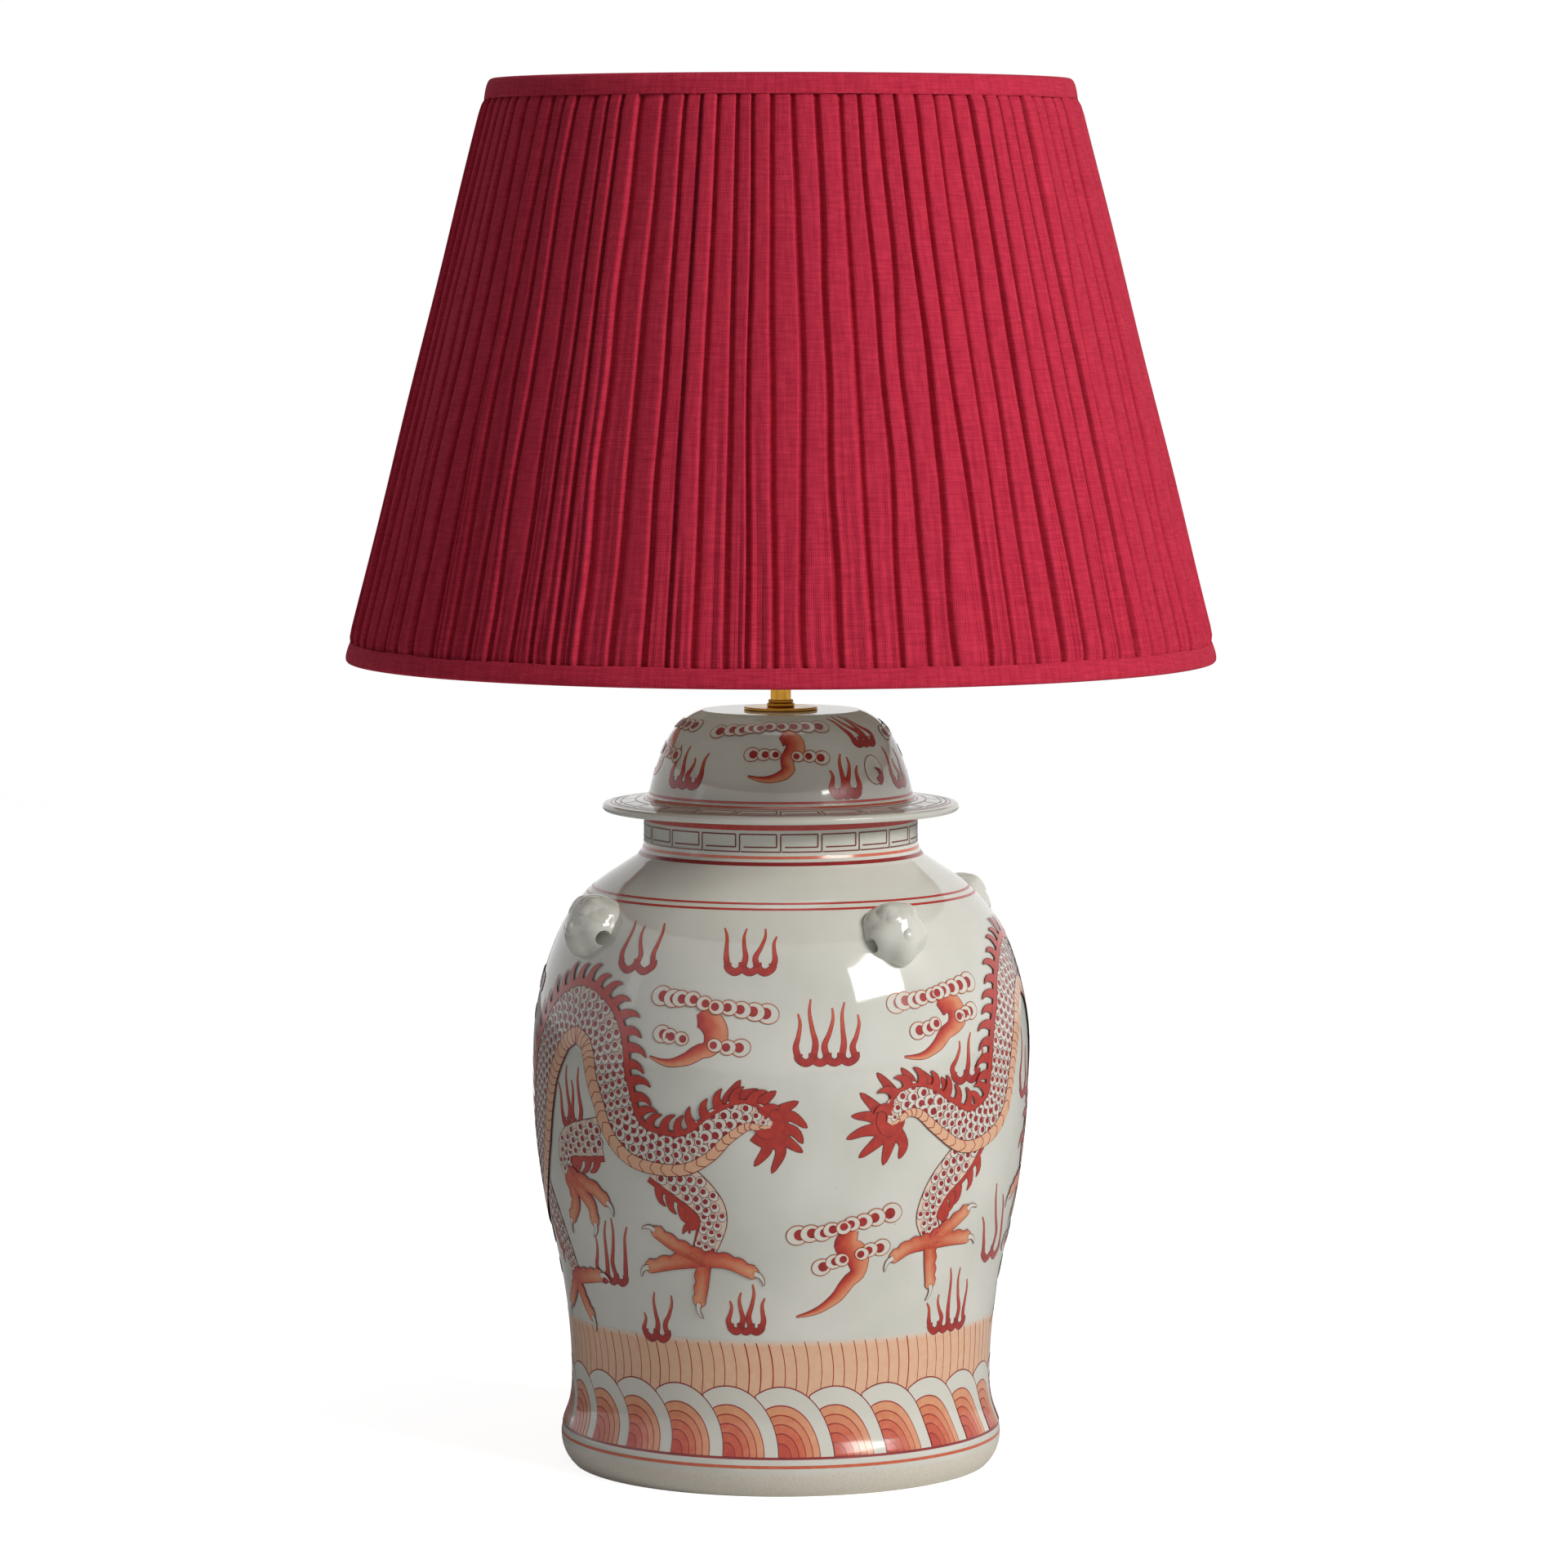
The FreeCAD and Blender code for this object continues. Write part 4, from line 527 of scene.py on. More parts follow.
def dragon_leg(painting, knee, foot, toes, fin):
    """A scaled leg from the body over the knee to the foot, with a red fin along one side (+1 left of the way
    down, -1 right), and toes with lumpy soles that end in thin pale hooked claws."""
    wall = painting.wall
    path = smooth_path(wall.chart(knee), 2.0)
    t = np.linspace(0, 1, len(path))
    fat = LEG_WIDTH * np.interp(t, (0, 0.35, 0.75, 1), (1.15, 1.05, 0.78, 0.68))
    run = run_of(path)
    ahead, side = directions(path)
    edge = path + side * (fin * fat / 2)[:, None]
    fin_width = np.interp(t, (0, 0.6, 1), (7, 5, 1))
    painting.stroke(edge, fin_width + 0.8, LINE, 1)
    painting.stroke(edge, fin_width, RED, 2)
    for share in np.arange(0.12, 0.8, 9 / run[-1]):
        k = int(share * (len(path) - 1))
        f, a, o = edge[k], ahead[k], side[k] * fin
        spine = [f, f + o * 4 + a, f + o * 8 + a * 4.5, f + o * 9 + a * 9]
        painting.tongue(spine, 6, RED, 2, outline=0.4, blunt=0.5)
    painting.stroke(path, fat + 1.0, LINE, 3, columns=5)
    painting.stroke(path, fat, BLUSH, 4, columns=5)
    for start, shares in ((0, (-0.34, 0.34)), (0.5, (-0.68, 0.0, 0.68))):
        spots = np.arange(2 + LEG_SCALE_PITCH * start, run[-1] + 1, LEG_SCALE_PITCH)
        size = 0.2 + 0.66 * np.interp(spots, run, fat) / LEG_WIDTH
        for share in shares:
            lane = path + side * (share * fat / 2)[:, None]
            scales(painting, read_off(lane, run, spots), -read_off(ahead, run, spots), size, 6)
    for toe in toes:
        line = smooth_path(wall.chart((foot, *toe)), 1.2)
        u = np.linspace(0, 1, len(line))
        back = 4.6 - 1.0 * u
        sole = back + 1.3 * np.abs(np.sin(3.5 * math.pi * u)) - 0.4
        left, right = (back, sole) if line[-1, 0] < line[0, 0] else (sole, back)
        tones = np.interp(u, (0, 1), (0.1, -0.12))[:, None] + (0.64, 0.52, 0.44, 0.48, 0.58)
        tip = line[-1]
        painting.blade(line, left + 0.4, right + 0.4, 0.92, 9, 3)
        painting.disc(tip, 8.0, 0.92, 9)
        painting.blade(line, left, right, tones, 10)
        painting.disc(tip, 7.2, 0.4, 9.6)
        on = (tip - line[-3]) / np.linalg.norm(tip - line[-3])
        hook = np.array((on[1], -on[0])) * (1 if on[0] > 0 else -1)
        claw = [tip + on * 1.5, tip + on * 5.0, tip + on * 8.0 + hook * 2.0, tip + on * 9.5 + hook * 4.5]
        painting.tongue(claw, 2.8, BARE, 11, outline=0.4, blunt=0.6, step=1.2)


# The head is drawn in mm from the back of the skull, looking towards +x. First its jaws, each with an upper
# edge and a lower one.
JAWS = (
    (
        ((-12, 2), (-6, 12), (4, 14), (12, 10), (22, 11), (30, 14), (35, 9)),
        ((-12, -8), (-5, -8), (3, -4), (12, 0), (22, 0), (30, 2), (35, 9)),
    ),
    (
        ((-8, -6), (2, -8), (12, -10), (20, -11), (27, -7)),
        ((-8, -13), (2, -16), (12, -18), (21, -17), (27, -7)),
    ),
)
# Eye and nostril: place, width, tone, coat, height and corners
HEAD_SPOTS = (
    ((7, 9), 9, LINE, 5, 7.5, 20),
    ((7, 9), 7.8, BARE, 5.6, 6.3, 20),
    ((8.5, 9), 3.6, LINE, 6.2, 3.6, 14),
    ((31, 11), 4.5, LINE, 5, 4.5, 14),
    ((31, 11), 3.3, RED, 5.6, 3.3, 14),
)
# Tongue, brow, whiskers, and the two prongs of each horn: line, width, tone, coat and outline
HEAD_TONGUES = (
    (((2, -9), (12, -6), (22, -5), (30, -2)), 3.4, RED, 4, 0.35),
    (((13, 12), (7, 16), (0, 15), (-7, 19)), 3.2, RED, 6, 0.35),
    (((31, 9), (40, 14), (44, 24), (36, 31), (40, 40)), 2.2, RED, 6, 0.3),
    (((29, 4), (38, 0), (46, 6), (54, 1)), 2.2, RED, 6, 0.3),
    (((-3, 11), (-14, 17), (-26, 20), (-36, 28)), 4.6, PEACH, 5, 0.45),
    (((-14, 17), (-20, 23), (-22, 30)), 3.2, PEACH, 5, 0.45),
    (((-3, 11 + 7 / 3), (-14, 24), (-26, 27), (-36, 35)), 4.6, PEACH, 5, 0.45),
    (((-14, 24), (-20, 30), (-22, 37)), 3.2, PEACH, 5, 0.45),
)


def dragon_head(painting, place, facing, coat):
    """A dragon's head in profile: muzzle and open jaw, eye and brow, two-pronged horns, mane, beard and
    whiskers. facing is +1 towards the lamp's left and -1 to its right."""
    origin = painting.wall.chart(place)

    def here(points):
        """Chart points of points of the head."""
        return origin + np.array(points, float) * (facing, 1)

    for n in range(7):
        low = -12 + 4.2 * n
        mane = ((-8, low), (-20, low + 2 * n - 6), (-32, low + 5 * n - 14), (-42, low + 6 * n - 10))
        painting.tongue(here(mane), 5, RED, coat + 1 + 0.3 * n, outline=0.4)
    t = np.linspace(0, 1, 28)
    shares = np.linspace(0, 1, 6)[None, :, None]
    for edges in JAWS:
        paths = [smooth_path(here(edge), 1.6) for edge in edges]
        top, foot = (read_off(path, np.linspace(0, 1, len(path)), t) for path in paths)
        painting.lay(top[:, None] * (1 - shares) + foot[:, None] * shares, PEACH, coat + 3)
        painting.stroke(top, 1.0, LINE, coat + 4)
        painting.stroke(foot, 1.0, LINE, coat + 4)
    for x in (10, 15, 20, 25):
        painting.tongue(here(((x, -1), (x + 1, -3), (x + 1.5, -6))), 2.4, BARE, coat + 5, outline=0.35)
        painting.tongue(here(((x - 2, -11), (x - 1, -8.5), (x - 1, -6))), 2.2, BARE, coat + 5, outline=0.35)
    for spot, across, tone, level, tall, corners in HEAD_SPOTS:
        painting.disc(here(spot), across, tone, coat + level, tall=tall, corners=corners)
    for line, width, tone, level, outline in HEAD_TONGUES:
        painting.tongue(here(line), width, tone, coat + level, outline=outline)
    for n in range(4):
        beard = ((-2 + 5 * n, -15), (-4 + 5 * n, -22), (-1 + 6 * n, -28), (-5 + 7 * n, -34))
        painting.tongue(here(beard), 2.6, RED, coat + 3, outline=0.35)


# ---------------------------------------------------------------------------------------------------------
# Where the motifs stand, as (azimuth, height)
# ---------------------------------------------------------------------------------------------------------

# Each leg: its line from hip to ankle, its foot, its toes' other joints, and its fin's side
LEFT_LEGS = (
    (((-46, 203), (-58, 197), (-61, 188), (-60, 178)), (-60, 178),
     (((-50, 172), (-46, 166)), ((-52, 163), (-51, 153)), ((-58, 162), (-61, 152))), 1),
    (((-29, 192), (-19, 174), (-16, 160), (-19, 140)), (-19, 137),
     (((-26, 144), (-31, 151)), ((-27, 134), (-34, 130)), ((-13, 136), (-7, 130)), ((-20, 122), (-21, 112))),
     -1),
    (((-82, 178), (-75, 158), (-70, 140), (-66, 118)), (-66, 116),
     (((-59, 118), (-53, 120)), ((-63, 103), (-60, 95)), ((-70, 105), (-74, 98))), -1),
    (((-121, 176), (-132, 162), (-136, 146), (-132, 132)), (-132, 131),
     (((-124, 127), (-118, 121)), ((-129, 117), (-127, 108)), ((-137, 119), (-141, 111))), -1),
)  # fmt: skip
RIGHT_LEGS = (
    (((50, 203), (46, 190), (40, 176), (37, 160), (39, 148)), (39, 144),
     (((33, 142), (29, 137)), ((45, 152), (50, 159)), ((46, 144), (52, 143)), ((40, 130), (41, 119))), 1),
    (((101, 222), (90, 206), (84, 190), (86, 172)), (86, 170),
     (((79, 167), (74, 162)), ((84, 156), (81, 147)), ((91, 158), (95, 149))), -1),
    (((132, 172), (140, 156), (146, 146), (144, 132)), (144, 131),
     (((137, 125), (132, 119)), ((143, 117), (141, 108)), ((150, 119), (155, 112))), 1),
)  # fmt: skip

CLOUD_LEFT = dict(
    top=((-29, 286), (-26, 285), (-24, 285), (-21, 285), (-18, 283),
         (-15, 281), (-12, 281), (-9, 280), (-6, 279), (-3, 278)),  # fmt: skip
    left=((-28, 265), (-26, 264), (-23, 263)),
    right=((-15, 260), (-12, 259), (-9, 259)),
    body=((-18, 280), (-16, 269), (-17, 256), (-24, 251), (-31, 252)),
)
CLOUD_RIGHT = dict(
    top=((28, 282), (30, 283), (33, 283), (35, 284), (38, 285),
         (40, 286), (42, 287), (45, 288), (48, 289), (51, 290)),  # fmt: skip
    left=((33, 266), (36, 267), (38, 269)),
    right=((46, 272), (48, 273), (50, 274)),
    body=((40, 284), (44, 275), (42, 263), (36, 255), (29, 252)),
)
CLOUD_LOW = dict(
    top=((4, 152), (7, 153), (10, 153), (12, 155), (15, 156), (17, 158), (20, 159), (23, 161), (27, 163)),
    left=((10, 133), (13, 136), (15, 137)),
    right=((20, 140), (22, 142), (25, 143)),
    body=((17, 154), (16, 146), (18, 137), (19, 127), (14, 115), (4, 104)),
)
CLOUD_LID = dict(
    top=((-36, 430), (-28, 431), (-22, 431), (-17, 432), (-12, 432),
         (-6, 433), (1, 433), (8, 433), (15, 433), (23, 433)),  # fmt: skip
    left=((-14, 418), (-8, 418), (-3, 418)),
    right=((8, 417), (14, 417), (20, 416)),
    body=((1, 430), (6, 424), (3, 416), (5, 410), (-2, 406), (-15, 406)),
)

# tips, the root's two azimuths, and its height
JAR_FLAMES = (
    (((-43, 325), (-39, 323), (-33, 325)), -43, -33, 302),
    (((-15, 324), (-9, 324), (-4, 324), (-1, 320)), -13, -2, 303),
    (((4, 278), (7, 286), (12, 281), (15, 284), (18, 277)), 4, 17, 253),
    (((-62, 230), (-58, 241), (-56, 233), (-53, 241)), -60, -53, 208),
    (((-52, 144), (-47, 154), (-45, 156), (-40, 152)), -53, -43, 120),
    (((-38, 102), (-34, 115), (-29, 114)), -38, -31, 90),
    (((-13, 113), (-10, 118), (-7, 123), (-4, 115)), -13, -5, 97),
    (((41, 107), (45, 111), (48, 126), (52, 125), (56, 117)), 43, 57, 92),
    (((58, 153), (63, 171), (68, 163)), 62, 73, 130),
    (((45, 258), (49, 262), (53, 252)), 43, 51, 238),
    (((75, 258), (79, 246), (84, 252)), 74, 84, 222),
    (((-96, 225), (-100, 240), (-105, 228)), -104, -95, 200),
    (((-140, 118), (-146, 130), (-152, 120)), -152, -141, 98),
    (((192, 312), (180, 322), (168, 312)), 186, 174, 292),
    (((116, 118), (122, 130), (128, 121)), 117, 128, 98),
    (((128, 262), (134, 276), (140, 264)), 129, 140, 240),
    (((166, 128), (172, 142), (178, 142), (184, 128)), 168, 183, 106),
)
LID_FLAMES = (
    (((-59, 421), (-51, 421), (-45, 415), (-37, 418)), -58, -40, 401),
    (((23, 409), (30, 418), (33, 416), (38, 411)), 24, 36, 396),
    (((31, 437), (36, 438), (41, 438), (46, 437)), 41, 55, 424),
    (((60, 420), (66, 413), (72, 418)), 62, 74, 400),
)
BACK_PEARL = (180, 236)
LID_CLOUD_SCALE = 0.85
LUG_TURNS = (31, 121, 211, 301)  # degrees: azimuths of mask_lug_1 to mask_lug_4
LUG_LEAN = -24  # degrees: how far a mask is tipped about its own across
LUG_CENTRE = (0, -122, 318)  # mm: of a mask at the front, before it is turned
LUG_SUNK = 3.0  # mm: how far a mask's back reaches into the wall
# mm across, out and up from the mask's centre, and radius: the CAD lumps, and the face's smaller ones
LUG_LUMPS = {
    "head": (0, -2.0, 0.2, 18.6),
    "hood": (0, 6.2, 4.8, 12.4),
    "ear_left": (-10.8, 3.4, 7.6, 5.4),
    "ear_right": (10.8, 3.4, 7.6, 5.4),
    "cheek_left": (-8.6, 5.6, -2.0, 9.4),
    "cheek_right": (8.6, 5.6, -2.0, 9.4),
    "muzzle": (0, 8.6, -7.4, 9.2),
    "chin": (0, 6.0, -12.8, 6.0),
    "eye_left": (-5.6, 13.4, 4.6, 3.0),
    "eye_right": (5.6, 13.4, 4.6, 3.0),
    "brow_left": (-6.4, 10.8, 9.4, 4.6),
    "brow_right": (6.4, 10.8, 9.4, 4.6),
    "nose": (0, 15.4, -4.4, 2.8),
}
EYELET_PLACE = (4.6, -5.8)  # mm out and up from the mask's centre
EYELET_RADIUS = 4.3
EYELET_SIDES = 32
EYELET_HALF = 30  # mm: half the length of the bar that is taken away

# lower and upper height, and tone
JAR_BANDS = (
    (375.6, 378.6, RED), (359.4, 361.0, CORAL), (355.6, 357.6, DEEP), (336.4, 337.4, RED),
    (333.4, 334.5, RED), (22.2, 24.2, DEEP), (17.2, 18.9, CORAL),
)  # fmt: skip


# ---------------------------------------------------------------------------------------------------------
# Materials
# ---------------------------------------------------------------------------------------------------------


def colour(code):
    """Linear RGBA of an sRGB hex colour."""
    c = np.array([int(code[k : k + 2], 16) for k in (0, 2, 4)]) / 255
    return (*np.where(c <= 0.04045, c / 12.92, ((c + 0.055) / 1.055) ** 2.4), 1.0)


def add_node(tree, kind, inputs, stops=(), **settings):
    """A shader node with its settings. Each input, by name or number, is given a value or joined to an output;
    a whole node stands for its first output in use. stops are the places and colours of a colour ramp."""
    node = tree.nodes.new("ShaderNode" + kind)
    for name, value in settings.items():
        setattr(node, name, value)
    for name, value in inputs.items():
        if isinstance(value, bpy.types.Node):
            value = next(output for output in value.outputs if output.enabled)
        if isinstance(value, bpy.types.NodeSocket):
            tree.links.new(value, node.inputs[name])
        else:
            node.inputs[name].default_value = value
    for number, (place, shade) in enumerate(stops):
        if number == len(node.color_ramp.elements):
            node.color_ramp.elements.new(1.0)
        node.color_ramp.elements[number].position = place
        node.color_ramp.elements[number].color = shade
    return node


def glazed_porcelain(tree):
    """Grey-white and glassy where it is glazed, faintly uneven and with a few specks. The glaze ends about
    15 mm over the floor; below that the body is bare, pale and rough."""
    at = add_node(tree, "TexCoord", {}).outputs["Object"]
    height = add_node(tree, "SeparateXYZ", {0: at}).outputs["Z"]
    pooling = add_node(tree, "TexNoise", {"Vector": at, "Scale": 1 / 0.060, "Detail": 3.0})
    tint = add_node(tree, "ValToRGB", {"Fac": pooling}, ((0.3, colour("D3D4CB")), (0.7, colour("E2E2DB"))))
    specks = add_node(tree, "TexVoronoi", {"Vector": at, "Scale": 1 / 0.011, "Randomness": 1.0})
    dark = add_node(tree, "ValToRGB", {"Fac": specks}, ((0.0, (1, 1, 1, 1)), (0.045, (0, 0, 0, 1))))
    speckled = add_node(tree, "Mix", {"Factor": dark, "A": tint, "B": colour("8C857A")}, data_type="RGBA")
    wobble = add_node(tree, "TexNoise", {"Vector": at, "Scale": 1 / 0.009})
    wiped = add_node(tree, "Math", {0: wobble, 1: 0.0016, 2: height}, operation="MULTIPLY_ADD")
    glaze = add_node(tree, "MapRange", {"Value": wiped, "From Min": 0.0145, "From Max": 0.0153})
    grit = add_node(tree, "TexNoise", {"Vector": at, "Scale": 1 / 0.0012, "Detail": 4.0})
    clay = add_node(tree, "ValToRGB", {"Fac": grit}, ((0.3, colour("D2CCBF")), (0.7, colour("E0DBD0"))))
    body = add_node(tree, "Mix", {"Factor": glaze, "A": clay, "B": speckled}, data_type="RGBA")
    rough = add_node(tree, "MapRange", {"Value": glaze, "To Min": 0.75, "To Max": 0.07})
    swell = add_node(tree, "TexNoise", {"Vector": at, "Scale": 1 / 0.022, "Detail": 1.0})
    bump = add_node(tree, "Bump", {"Height": swell, "Strength": 0.12, "Distance": 0.0012})
    look = {"Base Color": body, "Roughness": rough, "IOR": 1.5, "Normal": bump}
    return add_node(tree, "BsdfPrincipled", look)


def iron_red_enamel(tree):
    """A little mottled, peach where it is washed out and near brown where it pools, and less glassy than the
    glaze. The piece's own tone says how thick it lies."""
    at = add_node(tree, "TexCoord", {}).outputs["Object"]
    tone = add_node(tree, "Attribute", {}, attribute_name="tone").outputs["Fac"]
    mottle = add_node(tree, "TexNoise", {"Vector": at, "Scale": 1 / 0.004, "Detail": 4.0})
    centred = add_node(tree, "Math", {0: mottle, 1: 0.5}, operation="SUBTRACT")
    drift = add_node(tree, "Math", {0: centred, 1: 0.30}, operation="MULTIPLY")
    thick = add_node(tree, "Math", {0: drift, 1: tone, 2: tone}, operation="MULTIPLY_ADD", use_clamp=True)
    tones = (
        (0.0, colour("DEDDD4")),
        (0.12, colour("E4D0C0")),
        (0.24, colour("ECC4A4")),
        (0.34, colour("E4A078")),
        (0.52, colour("D46646")),
        (0.70, tuple(bpy.context.scene.lamp_looks.iron_red)),
        (0.84, colour("941E22")),
        (1.0, colour("6E281E")),
    )
    shade = add_node(tree, "ValToRGB", {"Fac": thick}, tones)
    rough = add_node(tree, "MapRange", {"Value": thick, "To Min": 0.1, "To Max": 0.26})
    return add_node(tree, "BsdfPrincipled", {"Base Color": shade, "Roughness": rough, "IOR": 1.52})


def woven_linen(tree, thread):
    """Matt, with slubs along both threads and a soft nap. The weave follows the cloth's own map, which is in
    metres, at `thread` a yarn."""
    look = bpy.context.scene.lamp_looks
    cloth = add_node(tree, "UVMap", {}, uv_map="cloth")
    uneven = {"Distortion": 1.8, "Detail": 2.0, "Detail Scale": 1.5}
    wave = {"Vector": cloth, "Scale": math.pi / (10 * thread), **uneven}
    warp = add_node(tree, "TexWave", wave, bands_direction="X")
    weft = add_node(tree, "TexWave", wave, bands_direction="Y")
    weave = add_node(tree, "Math", {0: warp, 1: weft}, operation="MULTIPLY")
    slubs = []
    for stretch in ((1 / 0.0022, 1 / 0.016, 1), (1 / 0.014, 1 / 0.0016, 1)):
        place = add_node(tree, "Mapping", {"Vector": cloth, "Scale": stretch})
        slubs.append(add_node(tree, "TexNoise", {"Vector": place, "Scale": 1.0, "Detail": 3.0}))
    slub = add_node(tree, "Math", {0: slubs[0], 1: slubs[1]}, operation="MULTIPLY")
    grain = add_node(tree, "Math", {0: weave, 1: 0.5, 2: slub}, operation="MULTIPLY_ADD")
    stops = ((0.08, tuple(look.linen_dark)), (0.6, tuple(look.linen)))
    shade = add_node(tree, "ValToRGB", {"Fac": grain}, stops)
    height = add_node(tree, "Math", {0: slub, 1: 1.4, 2: weave}, operation="MULTIPLY_ADD")
    bump = add_node(tree, "Bump", {"Height": height, "Strength": 0.55, "Distance": 0.0004})
    nap = {"Sheen Weight": 0.12, "Sheen Roughness": 0.5, "Sheen Tint": colour("E88A96")}
    matt = {"Base Color": shade, "Roughness": 0.9, "Specular IOR Level": 0.15, "Normal": bump}
    return add_node(tree, "BsdfPrincipled", {**matt, **nap})


def worked_metal(tree, base, grime, rough, mark, depth):
    """Lathe or drawing marks round the part as fine bands in height, and a film that dulls it in patches."""
    at = add_node(tree, "TexCoord", {}).outputs["Object"]
    fine = add_node(tree, "Mapping", {"Vector": at, "Scale": (20, 20, 1 / mark)})
    marks = add_node(tree, "TexNoise", {"Vector": fine, "Scale": 1.0, "Detail": 3.0})
    film = add_node(tree, "TexNoise", {"Vector": at, "Scale": 1 / 0.012, "Detail": 4.0})
    shade = add_node(tree, "ValToRGB", {"Fac": film}, ((0.35, colour(grime)), (0.65, colour(base))))
    dull = add_node(tree, "MapRange", {"Value": film, "To Min": rough * 1.5, "To Max": rough * 0.7})
    bump = add_node(tree, "Bump", {"Height": marks, "Strength": 0.25, "Distance": depth})
    look = {"Base Color": shade, "Metallic": 1.0, "Roughness": dull, "Normal": bump}
    return add_node(tree, "BsdfPrincipled", look)


def plain_coat(tree, light, dark, patch, rough, grain, depth):
    """A matt or glossy surface with a faint change of colour in patches, and a fine grain."""
    at = add_node(tree, "TexCoord", {}).outputs["Object"]
    drift = add_node(tree, "TexNoise", {"Vector": at, "Scale": 1 / patch, "Detail": 3.0})
    shade = add_node(tree, "ValToRGB", {"Fac": drift}, ((0.3, colour(dark)), (0.7, colour(light))))
    fine = add_node(tree, "TexNoise", {"Vector": at, "Scale": 1 / grain, "Detail": 2.0})
    bump = add_node(tree, "Bump", {"Height": fine, "Strength": 0.3, "Distance": depth})
    look = {"Base Color": shade, "Roughness": rough, "IOR": 1.5, "Normal": bump}
    return add_node(tree, "BsdfPrincipled", look)


def frosted_glass(tree):
    """Milky inside a smooth skin."""
    at = add_node(tree, "TexCoord", {}).outputs["Object"]
    frost = add_node(tree, "TexNoise", {"Vector": at, "Scale": 1 / 0.0016, "Detail": 3.0})
    rough = add_node(tree, "MapRange", {"Value": frost, "To Min": 0.4, "To Max": 0.55})
    milky = {"Base Color": colour("F4F3EE"), "Roughness": rough, "IOR": 1.5, "Transmission Weight": 0.55}
    skin = {"Coat Weight": 0.6, "Coat Roughness": 0.05}
    return add_node(tree, "BsdfPrincipled", {**milky, **skin})


def clear_glass(tree):
    """Clear, with a faint warm tint and a rippled surface."""
    at = add_node(tree, "TexCoord", {}).outputs["Object"]
    ripple = add_node(tree, "TexNoise", {"Vector": at, "Scale": 1 / 0.004})
    bump = add_node(tree, "Bump", {"Height": ripple, "Strength": 0.2, "Distance": 0.0002})
    clear = {"Base Color": colour("F5EED2"), "Roughness": 0.05, "IOR": 1.5, "Transmission Weight": 1.0}
    return add_node(tree, "BsdfPrincipled", {**clear, "Normal": bump})


def studio_floor(tree):
    """Pale paint that glows to the camera, so that it is white where no shadow falls."""
    seen = add_node(tree, "LightPath", {}).outputs["Is Camera Ray"]
    paint = add_node(tree, "BsdfDiffuse", {"Color": colour("F2F2F2")})
    glow = add_node(tree, "Emission", {"Color": (1, 1, 1, 1), "Strength": 0.84})
    both = add_node(tree, "AddShader", {0: paint, 1: glow})
    return add_node(tree, "MixShader", {0: seen, 1: paint, 2: both})


YARN = 0.8 * MM

# Each material's name, what fills its node tree, and the values for that
FINISHES = {
    # porcelain: thrown and fired under a thick clear glaze, with the foot wiped before firing
    "glazed_porcelain": (glazed_porcelain,),
    # iron-red enamel: ground iron oxide in a soft flux, brushed over the glaze and fired again
    "iron_red_enamel": (iron_red_enamel,),
    # linen: plain woven from uneven flax yarn, laid in pleats or folded into a band
    "raspberry_linen": (woven_linen, YARN),
    "folded_linen": (woven_linen, YARN),
    # brass: turned, buffed and lacquered, so it is a warm mirror with faint turning marks
    "polished_brass": (worked_metal, "D9A648", "C08A34", 0.14, 0.0009, 0.00002),
    # steel: cold-formed and bright zinc-plated, so it is a cool, slightly milky grey
    "zinc_plated_steel": (worked_metal, "BFC0BD", "9C9E9C", 0.30, 0.0006, 0.00003),
    # brass contacts: rolled strip and drawn shell, left unpolished
    "drawn_brass": (worked_metal, "C9A04E", "A67F38", 0.32, 0.0005, 0.00003),
    # aluminium: the bulb's cap, drawn, pale and satin
    "drawn_aluminium": (worked_metal, "C9C9C6", "AFAFAC", 0.34, 0.0005, 0.00003),
    # stove enamel on steel wire: dipped and baked, so it is a smooth, slightly soft white
    "stove_enamel": (plain_coat, "ECEAE4", "DDDAD2", 0.02, 0.32, 0.003, 0.0001),
    # laminated card: PVC film on card, off-white and nearly matt, with a paper grain
    "laminated_card": (plain_coat, "E8E3DA", "DDD6CA", 0.05, 0.6, 0.0007, 0.00008),
    # rubber: moulded, black, matt and slightly dusty, with a spark-eroded grain
    "moulded_rubber": (plain_coat, "2B2B2B", "1F1F1F", 0.01, 0.72, 0.0005, 0.0001),
    # steatite: pressed, fired and glazed, so it is creamy and shiny with fine pits
    "glazed_steatite": (plain_coat, "EFE8DA", "E2D9C8", 0.012, 0.2, 0.0012, 0.00006),
    # bulb glass: blown, and etched inside
    "frosted_glass": (frosted_glass,),
    # the bulb's stem: drawn clear glass
    "clear_glass": (clear_glass,),
    # the floor of the stage
    "studio_floor": (studio_floor,),
}

# The CAD nodes of each finish. The cover and its two trims are replaced by the linen pieces.
CAD_FINISHES = {
    "glazed_porcelain": ("jar_body", "jar_lid", "mask_lug_1", "mask_lug_2", "mask_lug_3", "mask_lug_4"),
    "zinc_plated_steel": ("base_washer", "base_nut", "stem_rod", "carrier_boss", "gallery_nut"),
    "stove_enamel": (
        "carrier_plate", "carrier_arm_left", "carrier_arm_right", "gallery", "top_fitter", "bottom_hoop",
    ),
    "polished_brass": (
        "stem_disc", "tube_collar", "cover_tube", "holder_cap", "holder_skirt", "shade_ring_lower",
        "shade_ring_upper",
    ),
    "moulded_rubber": ("base_cushion", "inlet_grommet", "switch_bar"),
    "glazed_steatite": ("holder_insulator",),
    "drawn_brass": ("screw_shell", "centre_contact", "bulb_contact"),
    "drawn_aluminium": ("bulb_cap",),
    "frosted_glass": ("bulb_glass",),
    "clear_glass": ("bulb_stem",),
    "laminated_card": ("shade_lining",),
}  # fmt: skip


